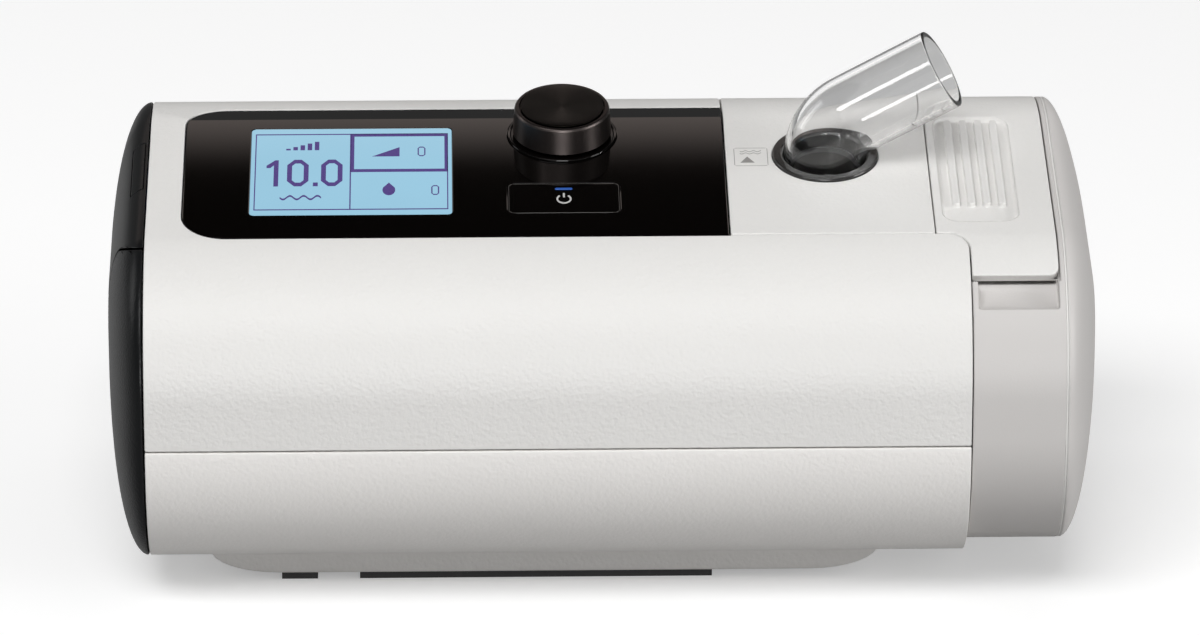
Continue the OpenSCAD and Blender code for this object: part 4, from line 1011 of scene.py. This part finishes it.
# in metres; lamps are given by place, point that they face, width and height
MACHINE = (0, 0, 0.06)
LAMPS = {
    "key": ((-0.7, -2.0, 2.6), MACHINE, 2.4, 1.3),
    "top": ((0.2, 0.5, 2.4), MACHINE, 1.8, 1.2),
    "left": ((-1.6, 0.5, 0.7), MACHINE, 0.5, 1.0),
    "right": ((2.0, -0.7, 0.5), MACHINE, 0.9, 0.8),
    "front": ((0.0, -2.3, 0.3), (0, 0, 0.1), 0.9, 0.5),
    "spark": ((-1.26, -1.35, 1.25), (0.075, 0, 0.12), 0.22, 0.3),
}
CARD_FOOT, CARD_RISE, CARD_FADE = at(-38, 315.5, 379.1), Vector((0, -0.6677, 0.7443)), (-0.004, 0.016)
CARD_CORNERS = ((-0.35, -0.05), (0.35, -0.05), (-0.35, 0.40), (0.35, 0.40))
TARGET = Vector((0, 0, 0.0612))


def plain_sheet(name, size, place, shader_of):
    """A flat sheet of the stage, with a material whose shader the given function wires."""
    deselect()
    bpy.ops.mesh.primitive_plane_add(size=size, location=place)
    sheet = bpy.context.object
    sheet.name = name
    mat = bpy.data.materials.new(name + "_paper")
    mat.use_nodes = True
    tree = mat.node_tree
    tree.nodes.remove(tree.nodes["Principled BSDF"])
    tree.links.new(shader_of(tree).outputs[0], tree.nodes["Material Output"].inputs["Surface"])
    sheet.data.materials.append(mat)
    return sheet


def floor_shader(tree, lift):
    """Pale paper: whiter where the camera sees it than where the machine does."""
    path = wire(tree, "ShaderNodeLightPath")
    glass = maths(tree, "MULTIPLY", path.outputs["Is Transmission Ray"], 0.2)
    seen = maths(tree, "MAXIMUM", path.outputs["Is Camera Ray"], glass)
    paper = mix(tree, seen, (0.45, 0.45, 0.45, 1), (0.80, 0.80, 0.80, 1))
    matt = wire(tree, "ShaderNodeBsdfDiffuse", {"Color": paper})
    white = wire(tree, "ShaderNodeEmission", {"Strength": maths(tree, "MULTIPLY", seen, lift)})
    return wire(tree, "ShaderNodeAddShader", {0: matt.outputs[0], 1: white.outputs[0]})


def card_shader(tree, strength):
    """Warm light along the card's lower edge that fades to black above."""
    arm = vector_maths(tree, "SUBTRACT", object_place(tree), tuple(CARD_FOOT))
    height = vector_maths(tree, "DOT_PRODUCT", arm, tuple(CARD_RISE), out=1)
    low, high = CARD_FADE
    span = {"Value": height, "From Min": low, "From Max": high, "To Min": strength, "To Max": 0.0}
    fade = wire(tree, "ShaderNodeMapRange", span, interpolation_type="SMOOTHSTEP").outputs["Result"]
    return wire(tree, "ShaderNodeEmission", {"Color": (1.0, 0.86, 0.80, 1), "Strength": fade})


def studio_world(s):
    """White where the camera looks past the machine, a dim even room for all other rays."""
    world = bpy.data.worlds.new("studio")
    world.use_nodes = True
    tree = world.node_tree
    path = wire(tree, "ShaderNodeLightPath")
    seen = maths(tree, "MAXIMUM", path.outputs["Is Camera Ray"], path.outputs["Is Transmission Ray"])
    even = blend(tree, path.outputs["Is Glossy Ray"], s.fill, s.gloss)
    back = tree.nodes["Background"]
    tree.links.new(blend(tree, seen, even, 1.0), back.inputs["Strength"])
    back.inputs["Color"].default_value = (1, 1, 1, 1)
    return world


def lamp(name, power):
    """One of the studio's area lamps."""
    place, aim, width, height = LAMPS[name]
    data = bpy.data.lights.new(name, "AREA")
    data.shape = "RECTANGLE"
    data.size, data.size_y, data.energy = width, height, power
    obj = bpy.data.objects.new(name, data)
    obj.location = place
    obj.rotation_euler = (Vector(aim) - Vector(place)).to_track_quat("-Z", "Y").to_euler()
    bpy.context.scene.collection.objects.link(obj)
    return obj


def camera(s):
    """The camera at the photograph's angle."""
    data = bpy.data.cameras.new("camera")
    data.lens = s.focal
    data.sensor_width = 36
    obj = bpy.data.objects.new("camera", data)
    level = math.cos(s.pitch)
    look = Vector((-math.sin(s.yaw) * level, math.cos(s.yaw) * level, -math.sin(s.pitch)))
    obj.location = TARGET - look * s.distance
    obj.rotation_euler = look.to_track_quat("-Z", "Y").to_euler()
    bpy.context.scene.collection.objects.link(obj)
    return obj


class THERAPY_OT_stage(Operator):
    """Make the floor, the lamps and the camera"""

    bl_idname = "therapy.stage"
    bl_label = "Stage"

    def execute(self, context):
        scene = context.scene
        s = scene.therapy_stage
        scene.view_settings.view_transform = "Standard"
        plain_sheet("floor", 14, (0, 2.0, 0), lambda tree: floor_shader(tree, s.paper))
        scene.world = studio_world(s)
        lamp("key", s.key)
        lamp("top", s.top)
        lamp("left", s.side * 0.2)
        lamp("right", s.side)
        lamp("front", s.front).visible_diffuse = False
        lamp("spark", s.spark).visible_diffuse = False
        card = plain_sheet("lens_card", 1, (0, 0, 0), lambda tree: card_shader(tree, s.card))
        for v, (u, w) in zip(card.data.vertices, CARD_CORNERS):
            v.co = CARD_FOOT + Vector((u, 0, 0)) + CARD_RISE * w
        card.visible_camera = card.visible_diffuse = card.visible_shadow = card.visible_transmission = False
        scene.camera = camera(s)
        return {"FINISHED"}


class THERAPY_PT_pieces(Panel):
    """Lists the pieces and their settings"""

    bl_label = "Therapy machine"
    bl_idname = "THERAPY_PT_pieces"
    bl_space_type = "VIEW_3D"
    bl_region_type = "UI"
    bl_category = "Therapy Machine"

    def draw(self, context):
        for op in OPERATORS:
            self.layout.operator(op.bl_idname)
        scene = context.scene
        for group in (scene.therapy_colours, scene.therapy_details, scene.therapy_stage):
            for key in group.bl_rna.properties.keys():
                if key not in ("rna_type", "name"):
                    self.layout.prop(group, key)


OPERATORS = (
    THERAPY_OT_finishes, THERAPY_OT_stage, THERAPY_OT_casing, THERAPY_OT_outlet_panel, THERAPY_OT_left_end,
    THERAPY_OT_right_end, THERAPY_OT_lid, THERAPY_OT_lens, THERAPY_OT_screen, THERAPY_OT_knob,
    THERAPY_OT_button, THERAPY_OT_outlet, THERAPY_OT_base,
)
GROUPS = (MachineColours, MachineDetails, StageSettings)


def register():
    """Adds the settings, operators and panel to Blender."""
    for cls in GROUPS + OPERATORS + (THERAPY_PT_pieces,):
        bpy.utils.register_class(cls)
    bpy.types.Scene.therapy_colours = PointerProperty(type=MachineColours)
    bpy.types.Scene.therapy_details = PointerProperty(type=MachineDetails)
    bpy.types.Scene.therapy_stage = PointerProperty(type=StageSettings)


def unregister():
    """Takes them out again."""
    del bpy.types.Scene.therapy_colours, bpy.types.Scene.therapy_details, bpy.types.Scene.therapy_stage
    for cls in reversed(GROUPS + OPERATORS + (THERAPY_PT_pieces,)):
        bpy.utils.unregister_class(cls)


def main():
    """Builds everything on the frame."""
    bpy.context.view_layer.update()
    register()
    for op in OPERATORS:
        getattr(bpy.ops.therapy, op.bl_idname.split(".")[1])()
    deselect()


if __name__ == "__main__":
    main()
